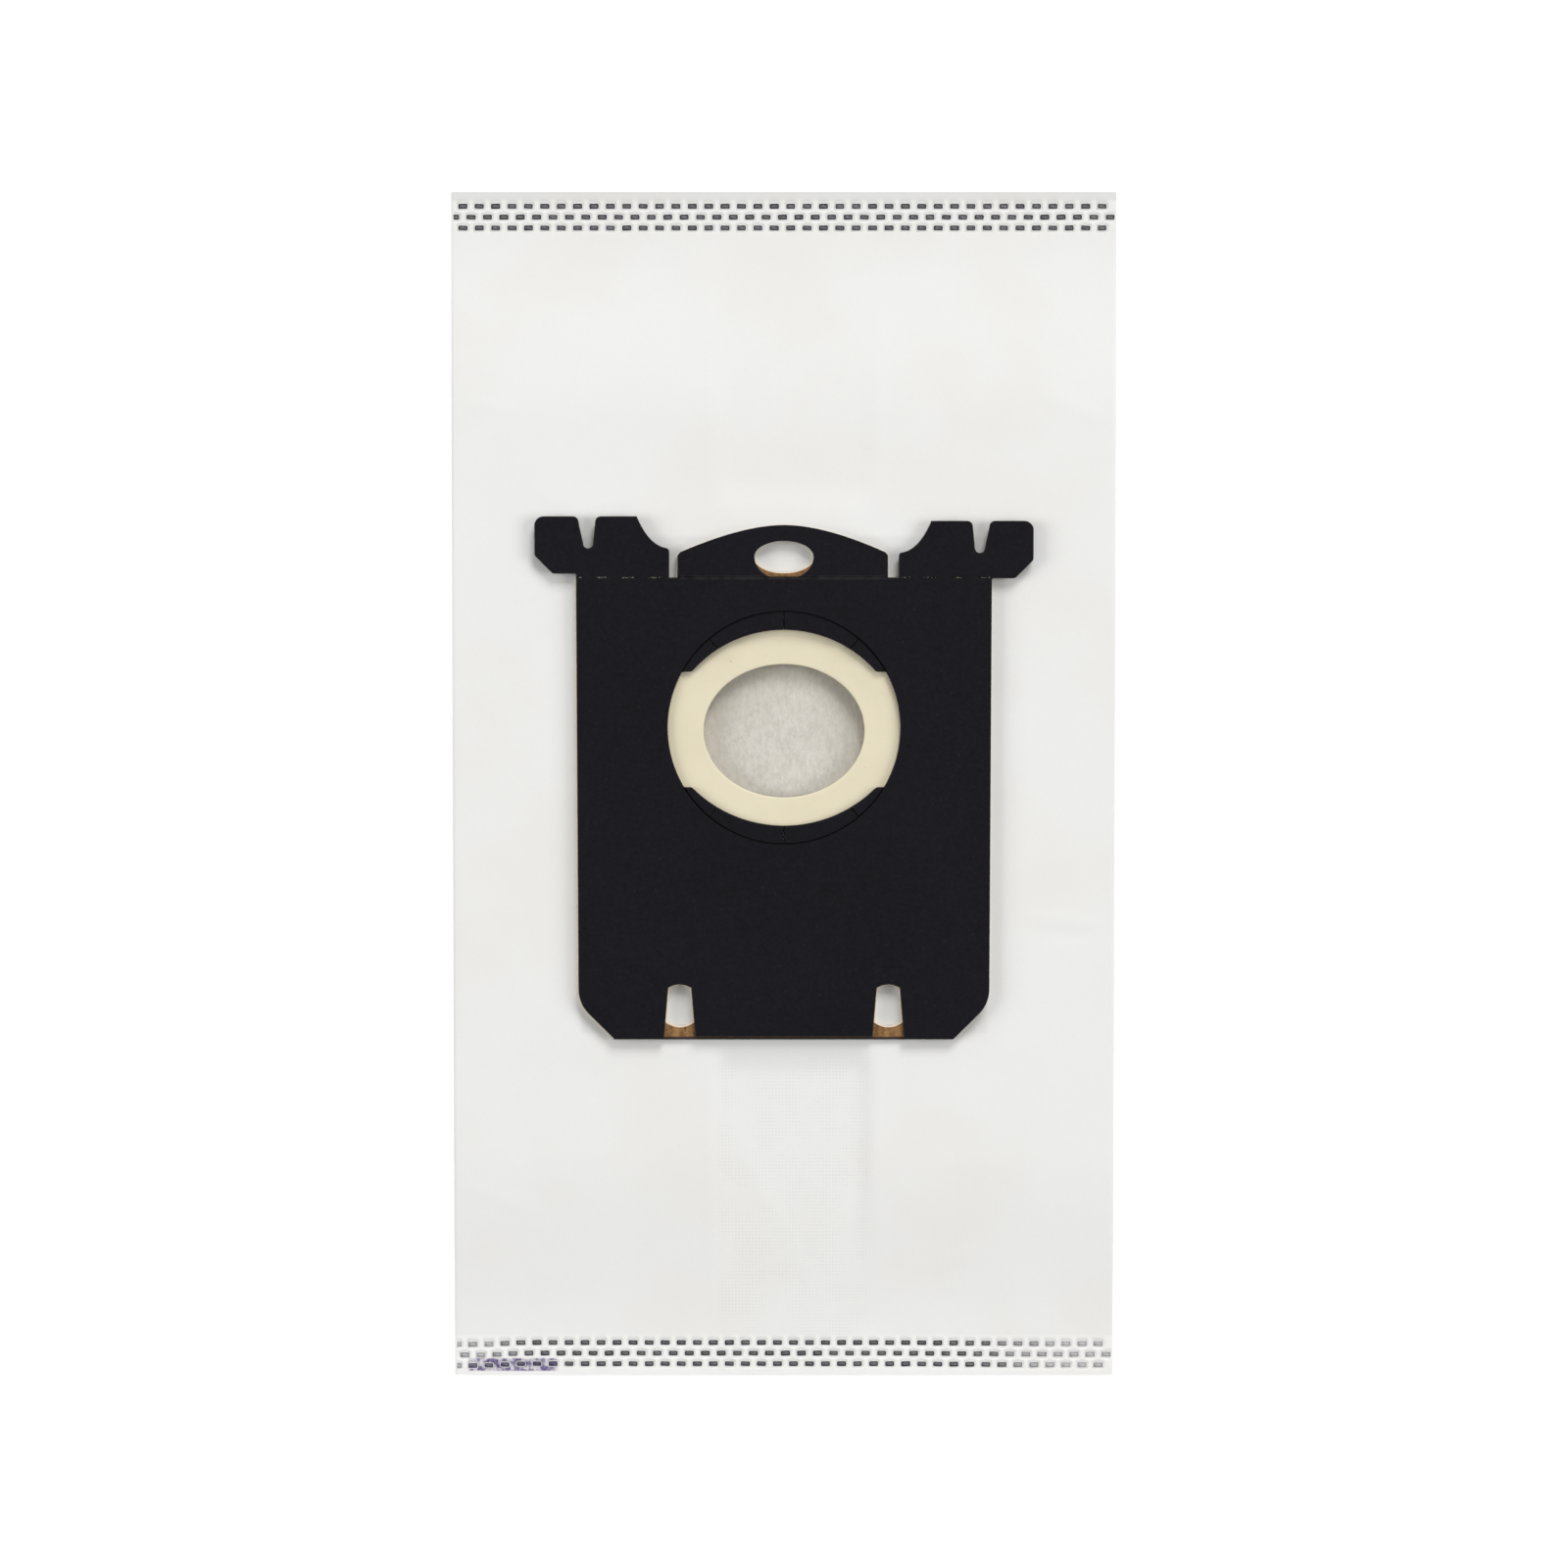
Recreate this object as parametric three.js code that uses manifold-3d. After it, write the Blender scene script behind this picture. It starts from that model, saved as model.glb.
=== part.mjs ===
// A side-gusseted vacuum dust bag, flat and unused, lying on its back. A welded nonwoven sleeve carries
// a collar on its front: two glued boards with a rubber seal held between them.
// Millimetres. +X runs across the bag, +Y towards its head weld, +Z up.
// The origin is under the middle of the bag, on the surface that it lies on.
import * as THREE from "three";
import { mergeGeometries, mergeVertices } from "three/addons/utils/BufferGeometryUtils.js";
import Module from "manifold-3d";

const wasm = await Module();
wasm.setup();

// Cloth sleeve
const bagWidth = 160;
const bagLength = 286.5;
const clothThickness = 0.6;
const foldGap = 0.35; // air between layers that lie on each other
const gussetSpacing = 42; // between the inner folds of the two gussets
const gussetShift = 2.3; // the tube was pressed flat a little off centre
const hollowDepth = 1.2; // how far the front sinks between the gussets
const hollowInset = 1; // from a gusset's inner fold to the start of that hollow
const hollowSlope = 5; // width of each flank of the hollow
const hollowFade = 9; // length over which the hollow fades out beside the collar
const mouthMargin = 1; // how much wider the hole in the cloth is than the one in the rear board

// End welds, each with staggered rows of pressed dashes
const weldWidth = 9.8;
const weldThickness = 1.3;
const weldTaper = 45; // length over which the sleeve swells from a weld to its full height
const headDashPitch = 3.94;
const footDashPitch = 3.9;
const dashLength = 2.2;
const dashWidth = 1.2;
const dashDepth = 0.45;
const dashRows = 3;
const dashRowSpacing = 2.6;
const headRowInset = 3.45; // from the cut end to the outermost row
const footRowInset = 2.75;
const headDashPhase = 2.8; // from the left edge to the first dash of the outermost row, at the head
const footDashPhase = 0.4; // the same at the foot
const dashEdgeMargin = 0.4; // cloth kept between a dash and the side fold
const shortestDash = 0.9; // a dash cut off shorter than this by the edge isn't pressed

// Lap seam that closes the tube, a pressed line along the back
const lapSeamX = 48;
const lapSeamWidth = 1.6;
const lapSeamDepth = 0.2;

// Collar boards. Heights on the boards are measured from the centre of the inlet.
const inletY = 14.5; // height of the inlet's centre above the middle of the bag
const boardThickness = 1.1;
const glueFilm = 0.1;
const collarWidth = 100;
const creaseRise = 36.2; // from the inlet up to the fold line of the tabs
const footDrop = 75.3; // from the inlet down to the lower edge
const footMiddleRise = 0.65; // the front board is this much shorter between the slots
const footTaper = 0.4; // how much narrower each side is above the sloped corners than at the fold line
const cornerCutWidth = 8.7; // the sloped lower corners
const cornerCutHeight = 8.6;
const cornerBlend = 3.7; // rounding where a sloped corner meets the side
const rearSlipX = -0.3; // the rear board was glued on a little to the left and low
const rearSlipY = -0.15;

// Bending ears of the front board
const earSpan = 120;
const earHeight = 14.7;
const earHeelRise = 0.9; // height of an ear's lower edge above the fold line
const earHeelCut = 4.4; // sloped outer corner of that edge
const earOuterRadius = 2.2;
const notchTopWidth = 4;
const notchDepth = 7.7;
const notchX = 47.4;
const notchLean = 0.3; // the foot of the notch lies this much nearer the middle
const notchFootRadius = 1.2;
const prongRadius = 1.4;
const earInnerTop = 35.4; // where the ear's top ends and its hollow flank begins
const earFlankRise = 7.1; // height of the foot of that flank
const earFlankBend = 0.64; // how near the ear's top the flank turns steep, as a share of its width
const earFlankCorner = 0.8; // corner cut off at the flank's foot
const tabGap = 2.3; // slit between an ear and the handle tab
const rightEarDrop = 1.1; // the right ear was cut and sits this much lower than the left

// Handle tab with its finger hole
const tabWidth = 50.6;
const tabShift = -0.3; // the tab was cut a little off centre
const tabSideHeight = 5.8;
const tabHeight = 12.6;
const tabCrownReach = 9.9; // how far out the two flanks of its arch would meet the level of the crown
const fingerHoleWidth = 14.2;
const fingerHoleHeight = 7.5;
const fingerHoleRise = 5; // of its centre, above the fold line
const fingerHoleFlatRise = 0.2; // of the flat lower edge in the front board
const fingerHoleLowerDepth = 5.5; // half height of the fuller lower half in the front board

// Fold line
const creaseWidth = 0.5;
const creaseDepth = 0.25;
const perforationPitch = 6.45;
const perforationLength = 3.3;
const perforationWidth = 0.35;
const leftPerforationStart = 3.3; // from the slit to the middle of the first cut
const rightPerforationStart = 1.05;
const perforationEnd = 0.5; // board kept at the slit and at the collar's side

// Inlet: a round hole, with a crescent flap left standing in its upper and lower edge
const inletRadius = 28;
const flapEndHeight = 13.9; // of the flaps' ends above and below their common middle
const flapEndDrop = 0.4; // of that middle below the inlet's centre
const flapEndReach = 22.2; // half the length of a flap's free edge
const flapDepth = 4.4;
const scoreWidth = 0.4;
const scoreDepth = 0.4;
const slitWidth = 0.3;
const slitAngle = 40; // degrees between the middle slit of a flap and the outer ones
const rearMouthRadius = 24;

// Slots in the lower edge
const slotSpacing = 50.4;
const slotTopWidth = 5.6;
const slotFootWidth = 7.6;
const slotHeight = 13.3;
const slotCrown = 0.8;
const rearSlotInset = 0.3; // the rear board's slots are this much narrower on each side
const rearSlotWeb = 3.1; // rear board that shows below them
const rearSlotSag = 1.05;

// Rubber seal
const rubberThickness = 0.6;
const rubberWidth = 68;
const rubberHeight = 64;
const rubberCorner = 5;
const rubberSeatClearance = 0.3;
const sealHoleWidth = 38.8;
const sealHoleHeight = 32.1;
const sealHoleDrop = 0.8; // the seal was laid in a little low

// Facets of the round shapes
const arcDivisions = 5;
const roundDivisions = 28;
const cutterOverlap = 1; // how far a cutter stands past the face that it cuts
const leastStep = 0.01; // places along the bag that are nearer than this are one

// Levels worked out from the sizes above
const halfWidth = bagWidth / 2;
const halfLength = bagLength / 2;
const layerPitch = clothThickness + foldGap;
const sleeveHeight = 3 * layerPitch + clothThickness;
const foldRadius = (layerPitch + clothThickness) / 2;
const gussetLeft = gussetShift - gussetSpacing / 2;
const gussetRight = gussetShift + gussetSpacing / 2;
const rearBottom = sleeveHeight + glueFilm;
const rearTop = rearBottom + boardThickness;
const frontBottom = rearTop + glueFilm;
const frontTop = frontBottom + boardThickness;
const collarTopY = inletY + creaseRise + earHeight;
const collarFootY = inletY - footDrop + rearSlipY;

// Materials
const cloth = new THREE.MeshStandardMaterial({ color: 0xe9e9e7, roughness: 0.95, metalness: 0 });
const blackBoard = new THREE.MeshStandardMaterial({ color: 0x201f24, roughness: 0.8, metalness: 0 });
const kraftBoard = new THREE.MeshStandardMaterial({ color: 0x8f6a42, roughness: 0.9, metalness: 0 });
const creamRubber = new THREE.MeshStandardMaterial({ color: 0xe3d9bf, roughness: 0.55, metalness: 0 });

// Solids and meshes
function solidOf(geometry) {
  const bare = geometry.clone();
  bare.deleteAttribute("normal");
  bare.deleteAttribute("uv");
  const merged = mergeVertices(bare, 1e-4);
  return new wasm.Manifold(
    new wasm.Mesh({
      numProp: 3,
      vertProperties: merged.attributes.position.array,
      triVerts: new Uint32Array(merged.index.array),
    }),
  );
}

function meshOf(name, solid, material) {
  const made = solid.getMesh();
  const geometry = new THREE.BufferGeometry();
  geometry.setAttribute("position", new THREE.BufferAttribute(made.vertProperties, 3));
  geometry.setIndex(new THREE.BufferAttribute(made.triVerts, 1));
  geometry.computeVertexNormals();
  const mesh = new THREE.Mesh(geometry, material);
  mesh.name = name;
  return mesh;
}

function cutAway(solid, cutters) {
  return cutters.reduce((rest, cutter) => rest.subtract(cutter), solid);
}

// A flat shape raised from one level to another.
function raised(shape, bottom, top) {
  const geometry = new THREE.ExtrudeGeometry(shape, {
    depth: top - bottom,
    bevelEnabled: false,
    curveSegments: roundDivisions,
  });
  return geometry.translate(0, 0, bottom);
}

function box(width, length, bottom, top, x, y, turn = 0) {
  const geometry = new THREE.BoxGeometry(width, length, top - bottom);
  return geometry.rotateZ(turn).translate(x, y, (bottom + top) / 2);
}

// A closed outline from two halves drawn on the right, each from the axis round to the axis again.
// The second is mirrored to the left.
function joined(rightPath, leftPath) {
  const right = rightPath.getPoints(arcDivisions);
  const left = leftPath.getPoints(arcDivisions).slice(1, -1).reverse();
  return new THREE.Shape([...right, ...left.map((p) => new THREE.Vector2(-p.x, p.y))]);
}

function ellipse(x, y, halfX, halfY) {
  return new THREE.Shape().absellipse(x, y, halfX, halfY, 0, 2 * Math.PI, false);
}

// Radius of the arc over a chord.
function arcRadius(halfChord, rise) {
  return (halfChord * halfChord + rise * rise) / (2 * rise);
}

// Sleeve
// Rises gently from 0 to 1 as a distance goes from 0 to a length.
function easing(distance, length) {
  return THREE.MathUtils.smoothstep(distance, 0, length);
}

// How far the layers are squeezed together at a place along the bag, 1 where they aren't.
function squeeze(y) {
  const fromWeld = halfLength - weldWidth - Math.abs(y);
  const pressed = weldThickness / sleeveHeight;
  return pressed + (1 - pressed) * easing(fromWeld, weldTaper);
}

// Depth of the hollow in the front at a place along the bag: none at the welds and under the collar.
function hollow(y) {
  const fromWeld = halfLength - weldWidth - Math.abs(y);
  const fromCollar = Math.max(y - collarTopY, collarFootY - y);
  return hollowDepth * easing(fromWeld, weldTaper) * easing(fromCollar, hollowFade);
}

// Places along the bag, from head to foot, where the sleeve's section changes.
function stations(endInset) {
  const end = halfLength - endInset;
  const swell = [0, 0.25, 0.5, 0.75, 1].map((s) => halfLength - weldWidth - s * weldTaper);
  const fade = [0, 0.33, 0.67, 1].map((s) => s * hollowFade);
  const inner = [...swell, ...swell.map((y) => -y)];
  inner.push(...fade.map((f) => collarTopY + f), ...fade.map((f) => collarFootY - f));
  const between = inner.filter((y) => Math.abs(y) < end - leastStep);
  const sorted = [end, ...between, -end].sort((a, b) => b - a);
  return sorted.filter((y, i) => i === 0 || sorted[i - 1] - y > leastStep);
}

// A section of the sleeve carried along the bag. It is drawn in X and Z at full height.
function lofted(section, places) {
  const last = places.length - 1;
  const geometry = new THREE.ExtrudeGeometry(section, {
    depth: last,
    steps: last,
    bevelEnabled: false,
    curveSegments: arcDivisions,
  });
  const position = geometry.attributes.position;
  const frontPanel = sleeveHeight - clothThickness;
  for (let i = 0; i < position.count; i += 1) {
    const x = position.getX(i);
    const z = position.getY(i);
    const y = places[Math.round(position.getZ(i))];
    const fromGusset = Math.min(x - gussetLeft, gussetRight - x) - hollowInset;
    const inFront = z > frontPanel - foldGap / 2;
    const sunk = inFront ? hollow(y) * easing(fromGusset, hollowSlope) : 0;
    position.setXYZ(i, x, y, (z - sunk) * squeeze(y));
  }
  return geometry;
}

// Points across the front, from right to left, where the hollow's flanks bend.
function flankPoints(z) {
  const steps = [1, 0.67, 0.33, 0].map((s) => hollowInset + s * hollowSlope);
  const right = steps.toReversed().map((s) => new THREE.Vector2(gussetRight - s, z));
  const left = steps.map((s) => new THREE.Vector2(gussetLeft + s, z));
  return [...right, ...left];
}

// The whole sleeve without its hollows, with its side folds rounded.
function sleeveSection() {
  const side = halfWidth - foldRadius;
  const shape = new THREE.Shape();
  shape.moveTo(-side, 0);
  shape.lineTo(side, 0);
  shape.absarc(side, foldRadius, foldRadius, -Math.PI / 2, 0, false);
  shape.absarc(side, sleeveHeight - foldRadius, foldRadius, 0, Math.PI / 2, false);
  flankPoints(sleeveHeight).forEach((p) => shape.lineTo(p.x, p.y));
  shape.absarc(-side, sleeveHeight - foldRadius, foldRadius, Math.PI / 2, Math.PI, false);
  shape.absarc(-side, foldRadius, foldRadius, Math.PI, 1.5 * Math.PI, false);
  return shape;
}

// The inside of the bag: over, between and under the two gussets.
function insideSection() {
  const side = halfWidth - clothThickness;
  const floor = clothThickness;
  const gussetUnderside = layerPitch;
  const gussetTop = 2 * layerPitch + clothThickness;
  const ceiling = 3 * layerPitch;
  const shape = new THREE.Shape();
  shape.moveTo(-side, floor);
  shape.lineTo(side, floor);
  shape.lineTo(side, gussetUnderside);
  shape.lineTo(gussetRight, gussetUnderside);
  shape.lineTo(gussetRight, gussetTop);
  shape.lineTo(side, gussetTop);
  shape.lineTo(side, ceiling);
  flankPoints(ceiling).forEach((p) => shape.lineTo(p.x, p.y));
  shape.lineTo(-side, ceiling);
  shape.lineTo(-side, gussetTop);
  shape.lineTo(gussetLeft, gussetTop);
  shape.lineTo(gussetLeft, gussetUnderside);
  shape.lineTo(-side, gussetUnderside);
  return shape;
}

// The air inside one gusset's fold, open at the bag's side, on the right or mirrored.
function gussetSection(tip, direction) {
  const middle = sleeveHeight / 2;
  const half = foldGap / 2;
  const side = halfWidth - foldRadius;
  const path = new THREE.Path();
  path.moveTo(Math.abs(tip) + clothThickness, middle - half);
  path.lineTo(side, middle - half);
  path.absarc(side, middle - half - foldRadius, foldRadius, Math.PI / 2, 0, true);
  path.lineTo(halfWidth + cutterOverlap, middle - half - foldRadius);
  const lower = path.getPoints(arcDivisions);
  const upper = lower.toReversed().map((p) => new THREE.Vector2(p.x, 2 * middle - p.y));
  const points = [...lower, ...upper].map((p) => new THREE.Vector2(direction * p.x, p.y));
  return new THREE.Shape(points);
}

// The pressed dashes of one weld, in rows that step half a pitch from each other.
function dashes(direction, pitch, phase, inset) {
  const boxes = [];
  const edge = halfWidth - dashEdgeMargin;
  for (let row = 0; row < dashRows; row += 1) {
    const y = direction * (halfLength - inset - row * dashRowSpacing);
    const start = phase - halfWidth - (row % 2) * (pitch / 2) - pitch;
    for (let x = start; x - dashLength / 2 < edge; x += pitch) {
      const left = Math.max(x - dashLength / 2, -edge);
      const right = Math.min(x + dashLength / 2, edge);
      if (right - left < shortestDash) continue;
      const floor = weldThickness - dashDepth;
      boxes.push(box(right - left, dashWidth, floor, sleeveHeight, (left + right) / 2, y));
    }
  }
  return mergeGeometries(boxes);
}

function filterBag() {
  const whole = solidOf(lofted(sleeveSection(), stations(0)));
  const between = stations(weldWidth);
  const mouth = ellipse(0, inletY, rearMouthRadius + mouthMargin, rearMouthRadius + mouthMargin);
  const mouthBottom = 3 * layerPitch - foldGap / 2;
  const seamLength = bagLength - 2 * weldWidth;
  const bag = cutAway(whole, [
    solidOf(lofted(insideSection(), between)),
    solidOf(lofted(gussetSection(gussetRight, 1), between)),
    solidOf(lofted(gussetSection(gussetLeft, -1), between)),
    solidOf(raised(mouth, mouthBottom, sleeveHeight + cutterOverlap)),
    solidOf(dashes(1, headDashPitch, headDashPhase, headRowInset)),
    solidOf(dashes(-1, footDashPitch, footDashPhase, footRowInset)),
    solidOf(box(lapSeamWidth, seamLength, -cutterOverlap, lapSeamDepth, lapSeamX, 0)),
  ]);
  return meshOf("filter_bag", bag, cloth);
}

// Collar outlines, drawn with the inlet's centre at zero
// The lower edge and the side, up to the fold line. Slots open the front board's lower edge.
function bodySide(path, slotted) {
  const side = collarWidth / 2 - footTaper;
  const foot = -footDrop;
  if (slotted) {
    const middle = slotSpacing / 2;
    const top = foot + slotHeight;
    path.moveTo(0, foot + footMiddleRise);
    path.lineTo(middle - slotFootWidth / 2, foot + footMiddleRise);
    path.lineTo(middle - slotTopWidth / 2, top - slotCrown);
    path.quadraticCurveTo(middle, top + slotCrown, middle + slotTopWidth / 2, top - slotCrown);
    path.lineTo(middle + slotFootWidth / 2, foot);
  } else {
    path.moveTo(0, foot);
  }
  path.lineTo(side - cornerCutWidth, foot);
  const slope = cornerCutHeight / cornerCutWidth;
  const along = cornerBlend / Math.hypot(1, slope);
  path.lineTo(side - along, foot + cornerCutHeight - slope * along);
  path.quadraticCurveTo(side, foot + cornerCutHeight, side, foot + cornerCutHeight + cornerBlend);
}

// The handle tab, from its foot on the fold line to its crown on the axis.
function handleTab(path, side) {
  const reach = tabWidth / 2 + side * tabShift;
  const crown = creaseRise + tabHeight;
  path.lineTo(reach, creaseRise);
  path.lineTo(reach, creaseRise + tabSideHeight);
  path.quadraticCurveTo(tabCrownReach, crown, 0, crown);
}

function ear(path, drop) {
  const tip = earSpan / 2;
  const heel = creaseRise + earHeelRise - drop;
  const top = creaseRise + earHeight - drop;
  const notchRight = notchX + notchTopWidth / 2;
  const notchLeft = notchX - notchTopWidth / 2;
  const footX = notchX - notchLean;
  const footY = top - notchDepth;
  const innerFoot = tabWidth / 2 + tabGap;
  const flankFoot = creaseRise + earFlankRise - drop;
  path.lineTo(collarWidth / 2, heel);
  path.lineTo(tip - earHeelCut, heel);
  path.lineTo(tip, heel + earHeelCut);
  path.lineTo(tip, top - earOuterRadius);
  path.absarc(tip - earOuterRadius, top - earOuterRadius, earOuterRadius, 0, Math.PI / 2, false);
  path.lineTo(notchRight + prongRadius, top);
  path.absarc(notchRight + prongRadius, top - prongRadius, prongRadius, Math.PI / 2, Math.PI, false);
  path.lineTo(footX + notchFootRadius, footY + notchFootRadius);
  path.absarc(footX, footY + notchFootRadius, notchFootRadius, 0, -Math.PI, true);
  path.lineTo(notchLeft, top - prongRadius);
  path.absarc(notchLeft - prongRadius, top - prongRadius, prongRadius, 0, Math.PI / 2, false);
  path.lineTo(earInnerTop, top);
  const bendX = innerFoot + earFlankBend * (earInnerTop - innerFoot);
  path.quadraticCurveTo(bendX, flankFoot + earFlankCorner, innerFoot + earFlankCorner, flankFoot);
  path.lineTo(innerFoot, flankFoot - earFlankCorner);
  path.lineTo(innerFoot, creaseRise);
}

// One half of a board, on the right for side 1 and still to be mirrored for side -1.
function frontHalf(side) {
  const half = new THREE.Path();
  bodySide(half, true);
  ear(half, side > 0 ? rightEarDrop : 0);
  handleTab(half, side);
  return half;
}

function rearHalf(side) {
  const half = new THREE.Path();
  bodySide(half, false);
  half.lineTo(collarWidth / 2, creaseRise);
  handleTab(half, side);
  return half;
}

// How far the ends of the upper flap, or of the lower one, lie from the inlet's centre.
function flapEnd(direction) {
  return flapEndHeight - direction * flapEndDrop;
}

// Where a flap's ends meet the round edge, as an angle from the level of the inlet's centre.
function flapEndAngle(direction) {
  return Math.asin(flapEnd(direction) / inletRadius);
}

// The free edge of a flap, drawn on the way round the opening.
function flapEdge(path, direction) {
  const height = flapEnd(direction);
  const edgeTop = inletRadius - flapDepth;
  const radius = arcRadius(flapEndReach, edgeTop - height);
  const centre = direction * (edgeTop - radius);
  const spread = Math.asin(flapEndReach / radius);
  const middle = (direction * Math.PI) / 2;
  path.lineTo(direction * flapEndReach, direction * height);
  path.absarc(0, centre, radius, middle - spread, middle + spread, false);
}

// The opening between the two crescent flaps.
function inletOpening() {
  const upper = flapEndAngle(1);
  const lower = flapEndAngle(-1);
  const path = new THREE.Path();
  path.absarc(0, 0, inletRadius, -lower, upper, false);
  flapEdge(path, 1);
  path.lineTo(-inletRadius * Math.cos(upper), flapEnd(1));
  path.absarc(0, 0, inletRadius, Math.PI - upper, Math.PI + lower, false);
  flapEdge(path, -1);
  path.lineTo(inletRadius * Math.cos(lower), -flapEnd(-1));
  return new THREE.Shape(path.getPoints(roundDivisions / 2));
}

// The front board's finger hole: fuller below, and cut flat near the fold line.
function frontFingerHole() {
  const centre = creaseRise + fingerHoleRise;
  const flat = fingerHoleRise - fingerHoleFlatRise;
  const start = Math.asin(Math.min(flat / fingerHoleLowerDepth, 1));
  const half = fingerHoleWidth / 2;
  const path = new THREE.Path();
  path.absellipse(0, centre, half, fingerHoleLowerDepth, -start, 0, false);
  path.absellipse(0, centre, half, fingerHoleHeight / 2, 0, Math.PI, false);
  path.absellipse(0, centre, half, fingerHoleLowerDepth, Math.PI, Math.PI + start, false);
  return new THREE.Shape(path.getPoints(arcDivisions * 2));
}

// The rear board's closed slot, rounded at its foot.
function rearSlot(direction) {
  const middle = direction * (slotSpacing / 2) - rearSlipX;
  const frontFoot = -footDrop - rearSlipY;
  const top = frontFoot + slotHeight - slotCrown - rearSlotInset;
  const foot = frontFoot + rearSlotWeb + rearSlotSag;
  const grow = (slotFootWidth - slotTopWidth) * (1 - (foot - frontFoot) / slotHeight);
  const halfTop = slotTopWidth / 2 - rearSlotInset;
  const halfFoot = (slotTopWidth + grow) / 2 - rearSlotInset;
  const shape = new THREE.Shape();
  shape.moveTo(middle - halfTop, top);
  shape.lineTo(middle - halfFoot, foot);
  shape.quadraticCurveTo(middle, foot - 2 * rearSlotSag, middle + halfFoot, foot);
  shape.lineTo(middle + halfTop, top);
  shape.quadraticCurveTo(middle, top + 2 * slotCrown, middle - halfTop, top);
  return shape;
}

function roundedRectangle(width, height, radius) {
  const x = width / 2 - radius;
  const y = height / 2 - radius;
  const shape = new THREE.Shape();
  shape.absarc(x, y, radius, 0, Math.PI / 2, false);
  shape.absarc(-x, y, radius, Math.PI / 2, Math.PI, false);
  shape.absarc(-x, -y, radius, Math.PI, 1.5 * Math.PI, false);
  shape.absarc(x, -y, radius, 1.5 * Math.PI, 2 * Math.PI, false);
  return new THREE.Shape(shape.getPoints(arcDivisions));
}

// Collar cuts
// The pressed line along which a flap bends.
function scoreLine(direction) {
  const overrun = scoreWidth / inletRadius;
  const start = flapEndAngle(direction) - overrun;
  const from = direction > 0 ? start : Math.PI + start;
  const to = direction > 0 ? Math.PI - start : 2 * Math.PI - start;
  const shape = new THREE.Shape();
  shape.absarc(0, 0, inletRadius + scoreWidth / 2, from, to, false);
  shape.absarc(0, 0, inletRadius - scoreWidth / 2, to, from, true);
  return raised(shape, frontTop - scoreDepth, frontTop + cutterOverlap);
}

// Three cuts that run across a flap to its score line.
function flapSlits(direction) {
  const inner = inletRadius - 2 * flapDepth;
  const middle = (inner + inletRadius) / 2;
  const bottom = frontBottom - cutterOverlap;
  const top = frontTop + cutterOverlap;
  return [-1, 0, 1].map((side) => {
    const turn = THREE.MathUtils.degToRad(side * slitAngle);
    const x = Math.sin(turn) * middle;
    const y = direction * Math.cos(turn) * middle;
    return box(slitWidth, inletRadius - inner, bottom, top, x, y, -direction * turn);
  });
}

// The row of cuts at the foot of one ear.
function perforations(side, start) {
  const cuts = [];
  const slit = tabWidth / 2 + tabGap;
  const nearest = slit + perforationEnd;
  const last = collarWidth / 2 - perforationEnd;
  const half = perforationLength / 2;
  const low = frontBottom - cutterOverlap;
  const high = frontTop + cutterOverlap;
  for (let x = slit + start; x - half < last - perforationWidth; x += perforationPitch) {
    const from = Math.max(x - half, nearest);
    const to = Math.min(x + half, last);
    cuts.push(box(to - from, perforationWidth, low, high, (side * (from + to)) / 2, creaseRise));
  }
  return mergeGeometries(cuts);
}

function crease() {
  const width = tabWidth + cutterOverlap / 2;
  return box(width, creaseWidth, frontTop - creaseDepth, frontTop + cutterOverlap, 0, creaseRise);
}

function frontPlate() {
  const outline = joined(frontHalf(1), frontHalf(-1));
  outline.holes.push(inletOpening(), frontFingerHole());
  const board = cutAway(solidOf(raised(outline, frontBottom, frontTop)), [
    solidOf(scoreLine(1)),
    solidOf(scoreLine(-1)),
    ...[...flapSlits(1), ...flapSlits(-1)].map(solidOf),
    solidOf(perforations(-1, leftPerforationStart)),
    solidOf(perforations(1, rightPerforationStart)),
    solidOf(crease()),
  ]);
  return meshOf("collar_front_plate", board, blackBoard);
}

function rearPlate() {
  const outline = joined(rearHalf(1), rearHalf(-1));
  const fingerHole = ellipse(
    -rearSlipX,
    creaseRise + fingerHoleRise - rearSlipY,
    fingerHoleWidth / 2,
    fingerHoleHeight / 2,
  );
  outline.holes.push(ellipse(0, 0, rearMouthRadius, rearMouthRadius), fingerHole, rearSlot(-1), rearSlot(1));
  const clearance = 2 * rubberSeatClearance;
  const seat = roundedRectangle(rubberWidth + clearance, rubberHeight + clearance, rubberCorner);
  const seatFloor = rearTop - rubberThickness - glueFilm;
  const seatCut = raised(seat, seatFloor, rearTop + cutterOverlap).translate(-rearSlipX, -rearSlipY, 0);
  const board = cutAway(solidOf(raised(outline, rearBottom, rearTop)), [solidOf(seatCut)]);
  const mesh = meshOf("collar_rear_plate", board, kraftBoard);
  mesh.position.set(rearSlipX, rearSlipY, 0);
  return mesh;
}

function rubberSeal() {
  const sheet = roundedRectangle(rubberWidth, rubberHeight, rubberCorner);
  sheet.holes.push(ellipse(0, -sealHoleDrop, sealHoleWidth / 2, sealHoleHeight / 2));
  return meshOf("rubber_seal", solidOf(raised(sheet, rearTop - rubberThickness, rearTop)), creamRubber);
}

const collar = new THREE.Group();
collar.position.set(0, inletY, 0);
collar.add(rearPlate(), rubberSeal(), frontPlate());

const dustBag = new THREE.Group();
dustBag.add(filterBag(), collar);

export default dustBag;
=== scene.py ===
"""A vacuum dust bag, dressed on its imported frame: nonwoven sleeve, board collar and rubber seal."""
import logging
import math
from dataclasses import dataclass, field
from enum import Enum

import bmesh
import bpy
import numpy as np
from bpy.types import ID, Material, NodeSocket, NodeTree, Object, bpy_prop_collection
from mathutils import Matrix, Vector
from mathutils.geometry import delaunay_2d_cdt


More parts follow.
